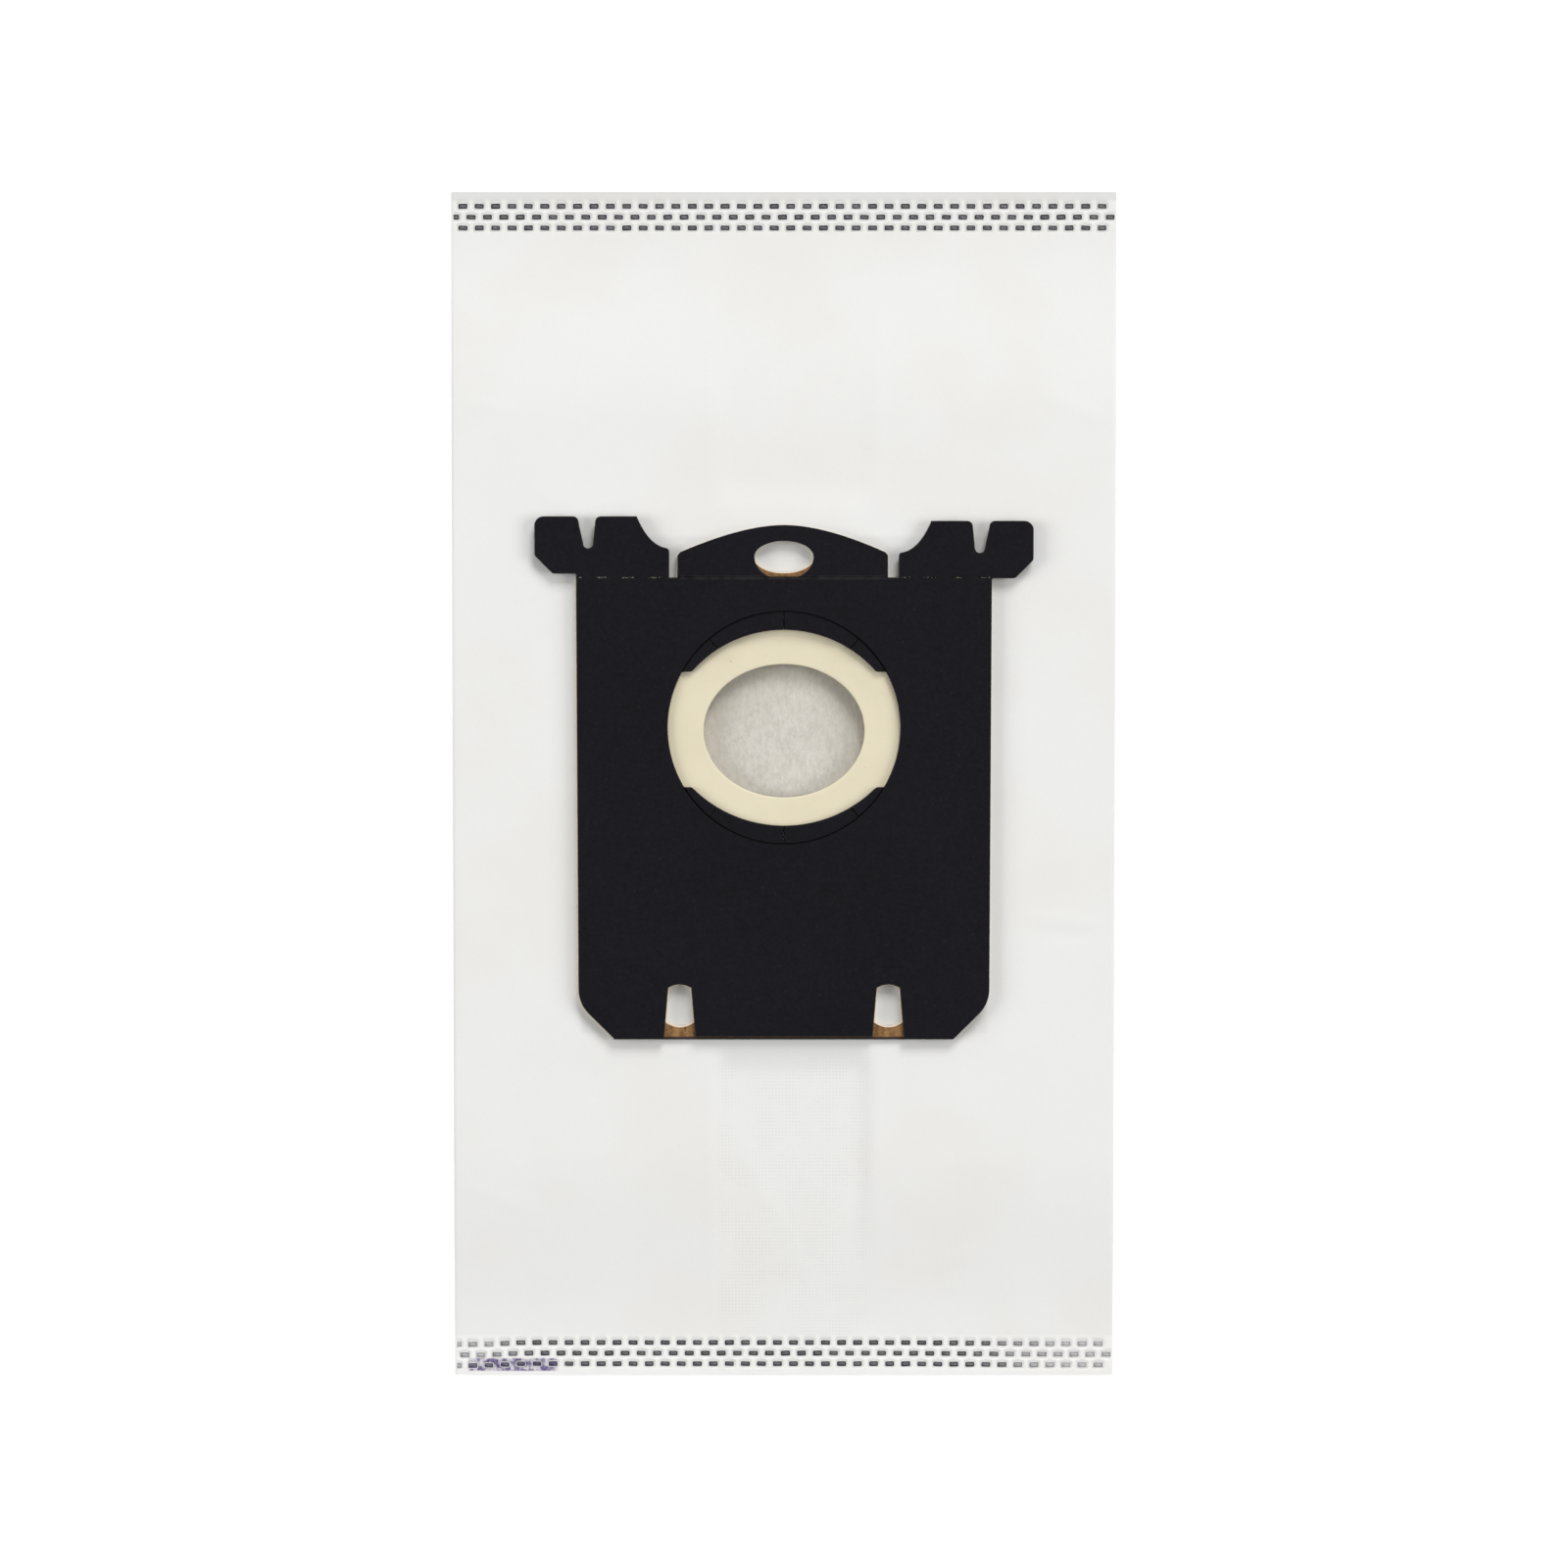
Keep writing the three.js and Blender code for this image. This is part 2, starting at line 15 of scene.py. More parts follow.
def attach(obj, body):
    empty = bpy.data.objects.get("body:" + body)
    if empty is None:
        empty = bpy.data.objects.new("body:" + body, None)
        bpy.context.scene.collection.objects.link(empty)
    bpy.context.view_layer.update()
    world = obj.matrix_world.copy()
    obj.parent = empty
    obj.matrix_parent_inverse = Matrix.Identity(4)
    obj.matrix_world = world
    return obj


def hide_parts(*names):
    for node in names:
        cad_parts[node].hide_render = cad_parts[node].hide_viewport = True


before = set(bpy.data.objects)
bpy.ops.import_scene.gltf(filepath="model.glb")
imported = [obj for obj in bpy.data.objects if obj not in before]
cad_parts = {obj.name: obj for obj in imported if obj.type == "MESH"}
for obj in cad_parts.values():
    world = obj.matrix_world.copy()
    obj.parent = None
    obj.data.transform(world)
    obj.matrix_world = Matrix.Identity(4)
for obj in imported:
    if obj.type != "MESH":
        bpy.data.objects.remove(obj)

LOG = logging.getLogger("dust_bag")
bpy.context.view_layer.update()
MM = 0.001
JOIN = 0.02
QUARTER = math.pi / 2
Point = tuple[float, float]
Triple = tuple[float, float, float]
Rgb = Triple
Loop = list[Point]
Rows = np.ndarray
Face = tuple[int, ...]


class Side(Enum):
    """The end of the sleeve that something lies at."""

    HEAD = 1
    FOOT = -1


class Cut(Enum):
    """How much of the thickness a cutter takes away."""

    THROUGH = "through"
    SCORE = "score"


# Shader and geometry trees


class Wire:
    """A socket that can be written into a sum; each operator adds its Math node."""

    def __init__(self, bench: "Bench", socket: NodeSocket) -> None:
        """Keeps the bench and the output socket."""
        self.bench = bench
        self.socket = socket

    def _sum(self, operation: str, *terms: "Wire | float") -> "Wire":
        """Adds one Math node with its operands."""
        return self.bench.node("ShaderNodeMath", {"operation": operation}, dict(enumerate(terms)))

    def __add__(self, other: "Wire | float") -> "Wire":
        """self + other."""
        return self._sum("ADD", self, other)

    __radd__ = __add__

    def __sub__(self, other: "Wire | float") -> "Wire":
        """self - other."""
        return self._sum("SUBTRACT", self, other)

    def __rsub__(self, other: "Wire | float") -> "Wire":
        """other - self."""
        return self._sum("SUBTRACT", other, self)

    def __mul__(self, other: "Wire | float") -> "Wire":
        """self * other."""
        return self._sum("MULTIPLY", self, other)

    __rmul__ = __mul__

    def root(self) -> "Wire":
        """The square root."""
        return self._sum("SQRT", self)

    def wave(self) -> "Wire":
        """The sine."""
        return self._sum("SINE", self)

    def size(self) -> "Wire":
        """The value without its sign."""
        return self._sum("ABSOLUTE", self)

    def least(self, other: "Wire | float") -> "Wire":
        """The smaller of self and other."""
        return self._sum("MINIMUM", self, other)

    def over(self, other: "Wire | float") -> "Wire":
        """1 where self is more than other, else 0."""
        return self._sum("GREATER_THAN", self, other)

    def ramp(self, start: float, end: float) -> "Wire":
        """Rises smoothly from 0 to 1.

        Args:
            start: the value where it is 0, which may be above the end.
            end: the value where it is 1.

        Returns:
            The smooth step.
        """
        low, high, first, last = (start, end, 0.0, 1.0) if start < end else (end, start, 1.0, 0.0)
        sockets = {"Value": self, "From Min": low, "From Max": high, "To Min": first, "To Max": last}
        return self.bench.node("ShaderNodeMapRange", {"interpolation_type": "SMOOTHSTEP"}, sockets)

    def between(self, low: float, high: float, rise: float, fall: float) -> "Wire":
        """1 between two values, with a rise above the low one and a fall below the high one."""
        return self.ramp(low, low + rise) * self.ramp(high, high - fall)


Term = Wire | float
Colour = Wire | Rgb


class Bench:
    """Builds one node tree."""

    def __init__(self, tree: NodeTree) -> None:
        """Empties the tree."""
        self.tree = tree
        tree.nodes.clear()

    @staticmethod
    def _find(sockets: bpy_prop_collection, name: str | int) -> NodeSocket:
        """Finds one of a node's sockets by place, identifier or name."""
        named = {socket.identifier: socket for socket in sockets}
        return named[name] if name in named else sockets[name]

    def node(self, kind: str, settings: dict[str, object] | None = None,
             sockets: dict[str | int, object] | None = None, output: str | int = 0) -> Wire:
        """Adds any node.

        Args:
            kind: the node's type.
            settings: what is set on the node first.
            sockets: values, wires or lists of wires by socket.
            output: the output that is wanted.

        Returns:
            The output's wire.
        """
        made = self.tree.nodes.new(kind)
        for name, value in (settings or {}).items():
            setattr(made, name, value)
        for name, value in (sockets or {}).items():
            socket = self._find(made.inputs, name)
            for wire in value if isinstance(value, list) else [value]:
                if isinstance(wire, Wire):
                    self.tree.links.new(wire.socket, socket)
                else:
                    socket.default_value = wire
        return Wire(self, self._find(made.outputs, output))

    def other(self, wire: Wire, output: str | int) -> Wire:
        """Another output of a wire's node."""
        return Wire(self, self._find(wire.socket.node.outputs, output))

    def end(self, kind: str, wire: Wire) -> None:
        """Adds the tree's output node and links a wire to it."""
        self.tree.links.new(wire.socket, self.tree.nodes.new(kind).inputs[0])


class Paint(Bench):
    """Builds one material; x, y and z are the place on the bag in millimetres."""

    def __init__(self, name: str) -> None:
        """Makes the material.

        Args:
            name: the material's name.
        """
        self.material = bpy.data.materials.new(name)
        self.material.use_nodes = True
        super().__init__(self.material.node_tree)
        self.place = self.node("ShaderNodeTexCoord", output="Object")
        self.x, self.y, self.z = self.parts(self.place)

    def parts(self, vector: Wire) -> tuple[Wire, Wire, Wire]:
        """Splits a vector.

        Args:
            vector: the vector, in metres.

        Returns:
            Its three parts in millimetres.
        """
        grown = self.node("ShaderNodeVectorMath", {"operation": "SCALE"}, {0: vector, "Scale": 1 / MM})
        split = self.node("ShaderNodeSeparateXYZ", None, {0: grown})
        return split, self.other(split, 1), self.other(split, 2)

    def marked(self, name: str, output: str = "Fac") -> Wire:
        """An attribute of the mesh."""
        return self.node("ShaderNodeAttribute", {"attribute_name": name}, output=output)

    def grain(self, scale: float, detail: float = 2, seed: float = 0, stretch: Triple = (1, 1, 1)) -> Wire:
        """Noise of a size.

        Args:
            scale: cells in a metre.
            detail: finer layers.
            seed: shifts the pattern.
            stretch: scale along each axis.

        Returns:
            The noise, about 0.5.
        """
        sockets = {"Vector": self.place, "Scale": stretch, "Location": (seed, seed * 0.7, seed * 1.3)}
        laid = self.node("ShaderNodeMapping", None, sockets)
        noise = {"Vector": laid, "Scale": scale, "Detail": detail, "Roughness": 0.55}
        return self.node("ShaderNodeTexNoise", None, noise)

    def blend(self, first: Colour, second: Colour, share: Term) -> Wire:
        """Mixes two colours by the share of the second."""
        sockets = {"Factor_Float": share, "A_Color": rgba(first), "B_Color": rgba(second)}
        return self.node("ShaderNodeMix", {"data_type": "RGBA"}, sockets, "Result_Color")

    def shade(self, colour: Colour, amount: Wire) -> Wire:
        """Multiplies a colour by a grey amount.

        Args:
            colour: the colour.
            amount: the grey amount, about 1.

        Returns:
            The shaded colour.
        """
        grey = self.node("ShaderNodeCombineColor", None, {0: amount, 1: amount, 2: amount})
        sockets = {"Factor_Float": 1.0, "A_Color": rgba(colour), "B_Color": grey}
        settings = {"data_type": "RGBA", "blend_type": "MULTIPLY"}
        return self.node("ShaderNodeMix", settings, sockets, "Result_Color")

    def relief(self, height: Wire, depth: float, strength: float) -> Wire:
        """The normal that a height bends, where 1 stands for a depth in metres."""
        return self.node("ShaderNodeBump", None, {"Height": height, "Distance": depth, "Strength": strength})

    def finish(self, colour: Colour, roughness: Term, specular: float, **more: Term) -> Material:
        """Adds the shader and the output.

        Args:
            colour: the base colour.
            roughness: the roughness.
            specular: the specular level.
            more: the shader's other sockets, with _ for a space.

        Returns:
            The material.
        """
        sockets = {"Base Color": rgba(colour), "Roughness": roughness, "Specular IOR Level": specular}
        sockets.update({name.replace("_", " "): value for name, value in more.items()})
        self.end("ShaderNodeOutputMaterial", self.node("ShaderNodeBsdfPrincipled", None, sockets))
        return self.material


def rgba(colour: Colour) -> Wire | tuple[float, ...]:
    """A colour as a socket takes it, with an alpha of 1 unless it is a wire."""
    return colour if isinstance(colour, Wire) else (*colour[:3], 1.0)


def tone(*steps: int) -> Rgb:
    """Red, green and blue in steps from 0 to 255 as a screen shows them, made linear."""
    shares = [step / 255 for step in steps]
    return tuple(c / 12.92 if c < 0.04045 else ((c + 0.055) / 1.055) ** 2.4 for c in shares)


# Finishes


@dataclass(frozen=True)
class NonwovenFinish:
    """White spunbond cloth with fine bonding dots, with painted shade under the collar, on the sunken band
    and at the head weld, and painted light at the foot weld.
    """

    colour: Rgb = tone(238, 238, 236)
    warm: Rgb = tone(236, 235, 232)
    # Painted shade on the head weld's strip and painted light on the foot weld's strip.
    head_painted_shade: float = 0.88
    foot_painted_light: float = 1.055
    weld_y: float = 133.0
    margin_y: float = 140.8
    # Painted shade on the cloth under the collar: its amount and the box that it fills.
    collar_painted_shade: float = 0.06
    collar_shade_half: float = 49.5
    collar_shade_span: Point = (-60.0, 61.0)
    band: Point = (-15.7, 20.3)
    band_end: float = -62.0
    dot_pitch: float = 1.15
    dot_depth: float = 0.00006
    cloud_scale: float = 55.0
    ink: Rgb = tone(96, 76, 130)
    ink_box: tuple[float, ...] = (-77.2, -54.4, -142.5, -138.9)
    roughness: float = 0.92

    def _ink(self, paint: Paint) -> Wire:
        """Blots of a blurred ink stamp near the foot, with nothing legible in them.

        Args:
            paint: the material's bench.

        Returns:
            The ink's share.
        """
        left, right, low, high = self.ink_box
        box = paint.x.between(left, right, 1.2, 2.5) * paint.y.between(low, high, 0.5, 0.5)
        blots = paint.grain(620, 1, 3.1, (1, 0.8, 1)).ramp(0.42, 0.58)
        wisps = paint.grain(1500, 1, 5.7).ramp(0.4, 0.62)
        return box * (0.28 + blots * 0.55 + wisps * 0.15) * paint.z.over(0.5)

    def paint(self) -> Material:
        """Builds the material.

        Returns:
            The nonwoven's material.
        """
        paint = Paint("nonwoven_cloth")
        turn = math.tau / self.dot_pitch / math.sqrt(2)
        dots = ((paint.x + paint.y) * turn).wave() * ((paint.x - paint.y) * turn).wave()
        dots = dots.ramp(0.25, 0.85)
        clouds, fibres = paint.grain(self.cloud_scale, 3), paint.grain(2600, 2, 1.7, (1, 0.35, 1))
        specks, uneven = paint.grain(700, 2, 8), paint.grain(160, 2, 2.2)
        low, high = self.band
        band = paint.x.between(low - 1, high + 1, 2, 2) * paint.y.ramp(self.band_end, self.band_end - 6)
        pressed = dots * uneven.ramp(0.35, 0.6) * (0.12 + band * 0.88)
        head = paint.y.ramp(self.weld_y, self.weld_y + 1)
        foot = paint.y.ramp(-self.weld_y, -self.weld_y - 1)
        margin = paint.y.ramp(self.margin_y, self.margin_y + 0.8)
        # Painted light and shade at the welds: the head's strip is darkened and the foot's strip lightened,
        # against how the lamps fall along the bag.
        painted_weld_light_and_shade = 1.0 + (head * 0.1 + margin * 0.9) * (self.head_painted_shade - 1) + foot * (self.foot_painted_light - 1)
        # Painted shade: the cloth under the collar, seen through its slots and finger hole, is darkened to
        # stand in for the shade beneath the boards.
        glued = paint.x.between(-self.collar_shade_half, self.collar_shade_half, 1, 1)
        glued = glued * paint.y.between(*self.collar_shade_span, 1, 1)
        amount = 1.0 + (clouds - 0.5) * 0.02 + (specks - 0.5) * 0.015 + (fibres - 0.5) * 0.02
        # Painted shade: the sunken band between the gussets is darkened a little.
        amount = (amount - pressed * 0.05 - band * 0.008 - glued * self.collar_painted_shade) * painted_weld_light_and_shade
        cloth = paint.blend(self.colour, self.warm, paint.grain(28, 2, 4).ramp(0.4, 0.7))
        inked = paint.blend(paint.shade(cloth, amount), self.ink, self._ink(paint))
        normal = paint.relief(fibres * 0.25 + specks * 0.3 - pressed * 0.5, self.dot_depth, 0.7)
        return paint.finish(inked, self.roughness, 0.2, Normal=normal, Sheen_Weight=0.12)


@dataclass(frozen=True)
class LiningFinish:
    """The bag's inside: a greyer, streaky filter layer, with warm painted shade that grows away from a lit
    spot inside the inlet.
    """

    colour: Rgb = tone(218, 215, 207)
    dark: Rgb = tone(194, 188, 177)
    # edge: the warm painted shade for the seal's shadow and its warm bounce light.
    edge: Rgb = tone(188, 177, 154)
    shade_free_centre: Point = (1.0, 8.5)
    painted_shade_reach: float = 20.0
    roughness: float = 0.95

    def paint(self) -> Material:
        """Builds the material.

        Returns:
            The lining's material.
        """
        paint = Paint("filter_lining")
        streaks, mottle = paint.grain(1100, 3, 2, (1, 0.35, 1)), paint.grain(850, 4, 6, (1, 0.8, 1))
        fibres, clouds = paint.grain(2100, 2, 1, (1, 0.6, 1)), paint.grain(130, 2, 9, (1, 0.8, 1))
        share = (streaks * 0.35 + mottle * 0.65).ramp(0.35, 0.7) * 0.8
        # Painted shade: the colour turns towards the warm edge tone away from the lit spot, for the seal's
        # shadow and its warm bounce light.
        x, y = paint.x - self.shade_free_centre[0], paint.y - self.shade_free_centre[1]
        away = (x * x + y * y).root().ramp(self.painted_shade_reach * 0.35, self.painted_shade_reach)
        colour = paint.blend(paint.blend(self.colour, self.dark, share), self.edge, away * 0.25)
        amount = 1.0 + (fibres - 0.5) * 0.26 + (mottle - 0.5) * 0.2 + (clouds - 0.5) * 0.2
        normal = paint.relief(streaks * 0.3 + fibres * 0.4 + mottle * 0.5, 0.00012, 0.8)
        return paint.finish(paint.shade(colour, amount), self.roughness, 0.2, Normal=normal)


@dataclass(frozen=True)
class WeldFilmFinish:
    """Cloth melted to a thin glassy film in the bottom of a dash, coloured with painted shade, the dark
    inside of the bag seen through it, that fades to painted light near the foot's corners.
    """

    dark: Rgb = tone(34, 34, 38)
    middle: Rgb = tone(100, 100, 104)
    pale: Rgb = tone(188, 188, 188)
    half: Point = (1.1, 0.6)
    ink: Rgb = tone(66, 52, 92)
    ink_box: Triple = (-78.0, -54.0, -138.8)

    def paint(self) -> Material:
        """Builds the material; the dashes' painted-shade attribute says how dark each dash is.

        Returns:
            The film's material.
        """
        paint = Paint("weld_film")
        melt = paint.marked("melt")
        x, y, _ = paint.parts(paint.marked("local", "Vector"))
        gap = (self.half[0] - x.size()).least(self.half[1] - y.size())
        mottle = paint.grain(1500, 2, 3)
        # Painted shade: the film is dark grey, darker at its border, for the shade inside the bag seen
        # through it.
        border = (gap + (mottle - 0.5) * 0.5).ramp(0.5, 0.15)
        depth = border * 0.9 + mottle.ramp(0.5, 0.62) * (1 - border) * 0.35
        deep = paint.blend(self.middle, self.dark, depth)
        # Painted light: the film turns pale where the white table shows through it.
        colour = paint.blend(self.pale, deep, (melt + (mottle - 0.5) * 0.3).ramp(0.0, 1.0))
        left, right, low = self.ink_box
        inked = paint.x.between(left, right, 1, 2) * paint.y.ramp(low, low - 0.5)
        colour = paint.blend(colour, self.ink, inked * (0.45 + mottle * 0.6))
        return paint.finish(colour, 0.34, 0.4, Normal=paint.relief(mottle, 0.0002, 0.8))


@dataclass(frozen=True)
class WeldRimFinish:
    """White rim of cloth that was pushed up round a dash."""

    colour: Rgb = tone(240, 240, 240)

    def paint(self) -> Material:
        """Builds the material.

        Returns:
            The rim's material.
        """
        paint = Paint("weld_rim")
        specks = paint.grain(2200)
        colour = paint.shade(self.colour, 1.0 + (specks - 0.5) * 0.16)
        return paint.finish(colour, 0.75, 0.3, Normal=paint.relief(specks, 0.0001, 0.7))


@dataclass(frozen=True)
class BlackBoardFinish:
    """Matte, slightly blue black paper face with a faint grain and dust."""

    colour: Rgb = tone(22, 21, 26)
    worn: Rgb = tone(34, 32, 36)
    fold: Rgb = tone(66, 63, 64)
    fold_y: float = 50.7
    fold_half: float = 25.3
    roughness: float = 0.72

    def paint(self) -> Material:
        """Builds the material.

        Returns:
            The black face's material.
        """
        paint = Paint("black_board_face")
        grain, felt, cloud = paint.grain(1050, 3), paint.grain(340, 4, 2), paint.grain(32, 2, 5)
        dust = paint.grain(1150, 0, 9).ramp(0.79, 0.84)
        amount = 1.0 + (grain - 0.5) * 0.9 + (felt - 0.5) * 0.5 + (cloud - 0.5) * 0.3
        face = paint.blend(paint.shade(self.colour, amount), self.worn, dust * 0.8)
        lip = (paint.y - self.fold_y).size().ramp(0.55, 0.25)
        lip = lip * paint.x.size().ramp(self.fold_half, self.fold_half - 0.6)
        face = paint.blend(face, self.fold, lip * felt.ramp(0.3, 0.62) * 0.4)
        normal = paint.relief(grain * 0.5 + felt * 0.6, 0.00007, 0.8)
        return paint.finish(face, self.roughness + (felt - 0.5) * 0.2, 0.1, Normal=normal)


@dataclass(frozen=True)
class CutEdgeFinish:
    """Punched edge of a board, where its fibres show."""

    name: str
    colour: Rgb
    deep: Rgb
    ply_pitch: float = 0.16

    def paint(self) -> Material:
        """Builds the material.

        Returns:
            The edge's material.
        """
        paint = Paint(self.name)
        plies = (paint.z * (math.tau / self.ply_pitch) + paint.grain(500) * 5.0).wave()
        fuzz = paint.grain(2600, 3, 1, (1, 1, 0.6))
        colour = paint.blend(self.colour, self.deep, (plies * 0.2 + fuzz).ramp(0.35, 0.75))
        return paint.finish(colour, 0.92, 0.2, Normal=paint.relief(plies * 0.1 + fuzz, 0.00012, 0.9))


@dataclass(frozen=True)
class KraftFinish:
    """Brown kraft face with long fibres and darker flecks, darker at its outer rim."""

    colour: Rgb = tone(160, 121, 80)
    dark: Rgb = tone(116, 84, 52)
    fleck: Rgb = tone(66, 48, 34)
    rim: Rgb = tone(60, 50, 46)

    def paint(self) -> Material:
        """Builds the material; the attribute "rim" is 1 at the board's outer edge.

        Returns:
            The kraft face's material.
        """
        paint = Paint("kraft_face")
        rim = paint.marked("rim")
        strands, mat = paint.grain(800, 4, 1, (1, 0.22, 1)), paint.grain(1700, 3, 2, (0.5, 1, 1))
        flecks = paint.grain(620, 1, 3, (1, 0.4, 1)).ramp(0.66, 0.74)
        face = paint.blend(self.colour, self.dark, (strands * 0.6 + mat * 0.4).ramp(0.36, 0.66))
        face = paint.blend(face, self.fleck, flecks * 0.7)
        face = paint.blend(face, self.rim, (rim + (mat - 0.5) * 0.4).ramp(0.2, 0.6))
        return paint.finish(face, 0.9, 0.2, Normal=paint.relief(strands + mat * 0.6, 0.00012, 0.9))


@dataclass(frozen=True)
class RubberFinish:
    """Smooth cream sheet rubber with a soft sheen."""

    colour: Rgb = tone(232, 223, 195)
    shade: Rgb = tone(223, 214, 185)
    speck: Rgb = tone(178, 166, 138)

    def paint(self) -> Material:
        """Builds the material.

        Returns:
            The rubber's material.
        """
        paint = Paint("seal_rubber")
        cloud, fine = paint.grain(70, 3), paint.grain(1300, 2, 4)
        specks = paint.grain(900, 0, 7).ramp(0.82, 0.87)
        colour = paint.blend(self.colour, self.shade, cloud.ramp(0.35, 0.75) * 0.5)
        colour = paint.blend(paint.shade(colour, 1.0 + (fine - 0.5) * 0.04), self.speck, specks * 0.35)
        normal = paint.relief(fine * 0.4 + cloud * 1.5, 0.00005, 0.4)
        return paint.finish(colour, 0.48 + (cloud - 0.5) * 0.2, 0.35, Normal=normal)


@dataclass(frozen=True)
class FibreFinish:
    """Pale paper fibres that stand in a cut."""

    colour: Rgb = tone(198, 193, 186)

    def paint(self) -> Material:
        """Builds the fibres' material."""
        paint = Paint("torn_fibre")
        return paint.finish(paint.shade(self.colour, 0.75 + paint.grain(3000, 1) * 0.5), 0.9, 0.2)


# Meshes


def made_mesh(name: str, points: Rows | list, faces: list[Face], materials: list[Material],
              indices: list[int] | None = None) -> Object:
    """Links an object with a mesh whose points are in millimetres.

    Args:
        name: the piece's name.
        points: its points.
        faces: its faces.
        materials: its materials.
        indices: each face's material.

    Returns:
        The object.
    """
    mesh = bpy.data.meshes.new(name)
    mesh.from_pydata((np.asarray(points, float) * MM).tolist(), [], faces)
    for material in materials:
        mesh.materials.append(material)
    if indices is not None:
        mesh.polygons.foreach_set("material_index", indices)
    mesh.update()
    return linked(name, mesh)


def linked(name: str, data: ID) -> Object:
    """Puts a new object in the scene.

    Args:
        name: its name.
        data: its mesh, lamp or camera.

    Returns:
        The object.
    """
    made = bpy.data.objects.new(name, data)
    bpy.context.scene.collection.objects.link(made)
    return made


def mark(piece: Object, name: str, values: Rows | list[float]) -> None:
    """Keeps a number for each point of a piece, as a named attribute."""
    piece.data.attributes.new(name, "FLOAT", "POINT").data.foreach_set("value", values)


def smooth(piece: Object, angle: float = 180.0) -> Object:
    """Shades a piece softly, apart from edges that are sharper than an angle in degrees.

    Args:
        piece: the piece.
        angle: the angle.

    Returns:
        The same piece.
    """
    piece.data.polygons.foreach_set("use_smooth", [True] * len(piece.data.polygons))
    piece.data.set_sharp_from_angle(angle=math.radians(angle))
    return piece


def turned_out(piece: Object, corners: int = 0, join: float = 0.0) -> Object:
    """Turns a piece's faces outwards.

    Args:
        piece: the piece.
        corners: faces with more corners than this are split into triangles, unless it is 0.
        join: points closer than this are joined first, unless it is 0.

    Returns:
        The same piece.
    """
    shell = bmesh.new()
    shell.from_mesh(piece.data)
    if join:
        bmesh.ops.remove_doubles(shell, verts=shell.verts, dist=join)
    bmesh.ops.recalc_face_normals(shell, faces=shell.faces)
    if corners:
        bmesh.ops.triangulate(shell, faces=[f for f in shell.faces if len(f.verts) > corners])
    shell.to_mesh(piece.data)
    shell.free()
    return piece


def settle(piece: Object) -> None:
    """Replaces a piece's mesh by what its modifiers make of it.

    Args:
        piece: the piece.
    """
    graph = bpy.context.evaluated_depsgraph_get()
    mesh = bpy.data.meshes.new_from_object(piece.evaluated_get(graph), depsgraph=graph)
    piece.modifiers.clear()
    old = piece.data
    piece.data = mesh
    mesh.name = piece.name
    bpy.data.meshes.remove(old)


def cut_away(piece: Object, cutters: list[Object]) -> Object:
    """Cuts other closed meshes out of a piece and removes them.

    Args:
        piece: the piece.
        cutters: what is cut out of it.

    Returns:
        The same piece.
    """
    for cutter in cutters:
        cut = piece.modifiers.new("cut", "BOOLEAN")
        cut.operation, cut.solver, cut.object = "DIFFERENCE", "MANIFOLD", cutter
    settle(piece)
    for cutter in cutters:
        bpy.data.objects.remove(cutter)
    return piece


def fan_noise(x: Rows, y: Rows, cell: float, seed: int) -> Rows:
    """Smooth seeded noise from -1 to 1.

    Args:
        x: places across.
        y: places along.
        cell: the size of one swelling, in millimetres.
        seed: which pattern.

    Returns:
        The noise at each place.
    """
    table = np.random.default_rng(seed).uniform(-1, 1, (256, 256))
    u, v = x / cell + 100, y / cell + 100
    i, j = np.floor(u).astype(int), np.floor(v).astype(int)
    a, b = ease(u - i, 1), ease(v - j, 1)
    low, high = (
        table[i % 256, (j + n) % 256] * (1 - a) + table[(i + 1) % 256, (j + n) % 256] * a for n in (0, 1)
    )
    return low * (1 - b) + high * b


def ease(value: Rows | float, length: float) -> Rows:
    """The share, from 0 to 1, that rises gently as a value goes from 0 to a length."""
    share = np.clip(np.asarray(value, float) / length, 0, 1)
    return share * share * (3 - 2 * share)


def grown(value: Rows | float, rule: Triple) -> Rows:
    """What has grown gently at a value, by a rule of amount, start and length."""
    amount, start, length = rule
    return amount * ease(value - start, length)


